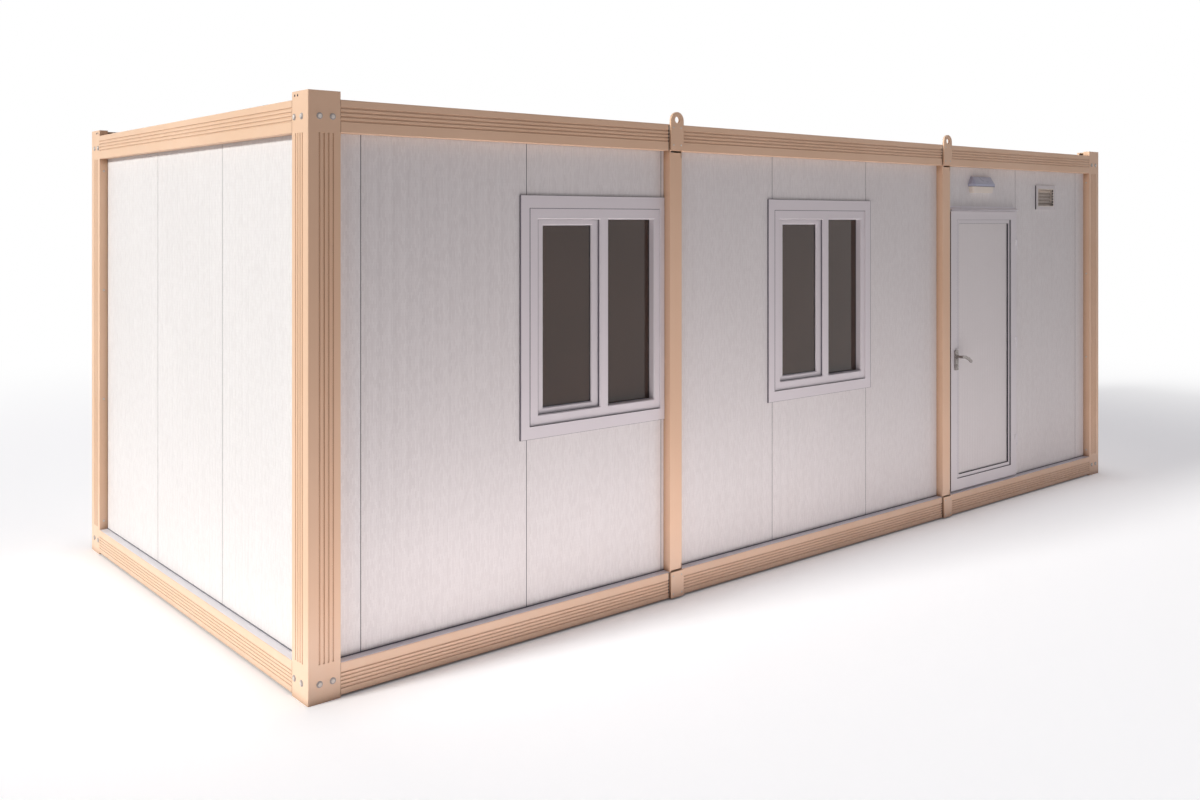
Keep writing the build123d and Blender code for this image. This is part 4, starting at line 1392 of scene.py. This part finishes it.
def wallGlow(tree):  # band of floor round the walls, strongest at the left of the front
    parts = splitVector(tree, partPlace(tree))
    runs = []
    for axis, name in enumerate(("X", "Y")):
        run = mathNode(tree, "ABSOLUTE", parts[name])
        runs.append(mathNode(tree, "SUBTRACT", run, cadBox[1][axis]))
    away = mathNode(tree, "MAXIMUM", *runs)
    left, right = cadBox[0][0], cadBox[1][0]
    front, rear = cadBox[0][1], cadBox[1][1]
    shares = (
        mapRange(tree, away, *studio["bounceRise"]),
        mapRange(tree, away, *studio["bounceFall"], 1.0, 0.0),
        mapRange(tree, parts["X"], left - studio["bounceStart"], left),
        mapRange(tree, parts["X"], left, right, 1.0, studio["bounceRight"]),
        mapRange(tree, parts["Y"], front, rear, 1.0, studio["bounceRear"]),
    )
    return multiplied(tree, studio["bounceStrength"], *shares)


def showMix(tree, share, first, second, outputName):  # first shader, with a share of the second
    mix = addNode(tree, "MixShader", {"Fac": share})
    tree.links.new(first, mix.inputs[1])
    tree.links.new(second, mix.inputs[2])
    tree.links.new(mix.outputs["Shader"], tree.nodes[outputName].inputs["Surface"])


def floorFinish():
    material, tree, shader = startMaterial("studioFloor")
    shader.inputs["Base Color"].default_value = studio["floorColour"]
    shader.inputs["Roughness"].default_value = studio["floorRoughness"]
    shader.inputs["Specular IOR Level"].default_value = studio["floorShine"]
    seen = seenRays(tree)
    unseen = mathNode(tree, "SUBTRACT", 1.0, seen)
    distance = mathNode(tree, "LENGTH", partPlace(tree), kind="VectorMath")
    fade = multiplied(tree, mapRange(tree, distance, *studio["fade"]), seen)
    # painted contact shadow: the white lift fades where occlusion finds the cabin near
    lift = multiplied(tree, openShare(tree, studio["contactShadowReach"]), studio["floorLift"], seen)
    bounce = multiplied(tree, wallGlow(tree), unseen)
    surface = shader.outputs["BSDF"]
    for colour, strength in ((studio["bounceColour"], bounce), (white, lift)):
        glow = addNode(tree, "Emission", {"Color": colour, "Strength": strength})
        lit = tree.nodes.new("ShaderNodeAddShader")
        tree.links.new(surface, lit.inputs[0])
        tree.links.new(glow.outputs["Emission"], lit.inputs[1])
        surface = lit.outputs["Shader"]
    distant = tree.nodes.new("ShaderNodeEmission").outputs["Emission"]
    showMix(tree, fade, surface, distant, "Material Output")
    return material


def studioFloor():
    mesh = bmesh.new()
    bmesh.ops.create_grid(mesh, x_segments=8, y_segments=8, size=studio["floorReach"])
    data = bpy.data.meshes.new("studioFloor")
    mesh.to_mesh(data)
    mesh.free()
    data.materials.append(floorFinish())
    floor = bpy.data.objects.new("studioFloor", data)
    bpy.context.scene.collection.objects.link(floor)


def studioSky():
    world = bpy.data.worlds.new("studioSky")
    world.use_nodes = True
    tree = world.node_tree
    coords = tree.nodes.new("ShaderNodeTexCoord")
    parts = splitVector(tree, coords.outputs["Generated"])
    upward = mapRange(tree, parts["Z"], *studio["skyBand"])
    strength = mapRange(tree, parts["Z"], *studio["skyBand"], *studio["skyStrength"])
    side = mapRange(tree, parts["X"], 1.0, -1.0, *studio["sideShares"])
    light = tree.nodes["Background"]
    colour = mixColour(tree, upward, studio["horizonColour"], studio["zenithColour"])
    tree.links.new(colour, light.inputs["Color"])
    tree.links.new(multiplied(tree, strength, side), light.inputs["Strength"])
    surround = addNode(tree, "Background", {"Color": white})
    skyLight = light.outputs["Background"]
    showMix(tree, seenRays(tree), skyLight, surround.outputs["Background"], "World Output")
    bpy.context.scene.world = world


def studioSun():
    lamp = bpy.data.lights.new("softSun", "SUN")
    lamp.energy = studio["sunStrength"]
    lamp.color = studio["sunColour"]
    lamp.angle = math.radians(studio["sunAngle"])
    sun = bpy.data.objects.new("softSun", lamp)
    height = math.radians(studio["sunHeight"])
    behind = math.radians(studio["sunBehind"])
    level = math.cos(height)
    travel = Vector((level * math.cos(behind), -level * math.sin(behind), -math.sin(height)))
    sun.rotation_mode = "QUATERNION"
    sun.rotation_quaternion = travel.to_track_quat("-Z", "Y")
    bpy.context.scene.collection.objects.link(sun)


# The photograph's camera: level, its frame shifted
photoCamera = {
    "place": (-5.6691, -5.9265, 2.0642),
    "turn": 39.54,  # from +Y towards +X, in degrees
    "focalPixels": 1131.7,
    "axisPixel": (578.2, 220.2),
    "photoSize": (1200, 800),
    "sensorWidth": 36.0,
}


def addCamera():
    look = photoCamera
    width, height = look["photoSize"]
    lens = bpy.data.cameras.new("photoCamera")
    lens.sensor_width = look["sensorWidth"]
    lens.lens = look["focalPixels"] / width * lens.sensor_width
    lens.shift_x = (width / 2 - look["axisPixel"][0]) / width
    lens.shift_y = (look["axisPixel"][1] - height / 2) / width
    camera = bpy.data.objects.new("photoCamera", lens)
    camera.location = look["place"]
    camera.rotation_mode = "XYZ"
    camera.rotation_euler = (math.radians(90), 0, -math.radians(look["turn"]))
    bpy.context.scene.collection.objects.link(camera)
    bpy.context.scene.camera = camera


studioFloor()
studioSky()
studioSun()
addCamera()
bpy.context.scene.view_settings.view_transform = "Standard"
print("studio done")
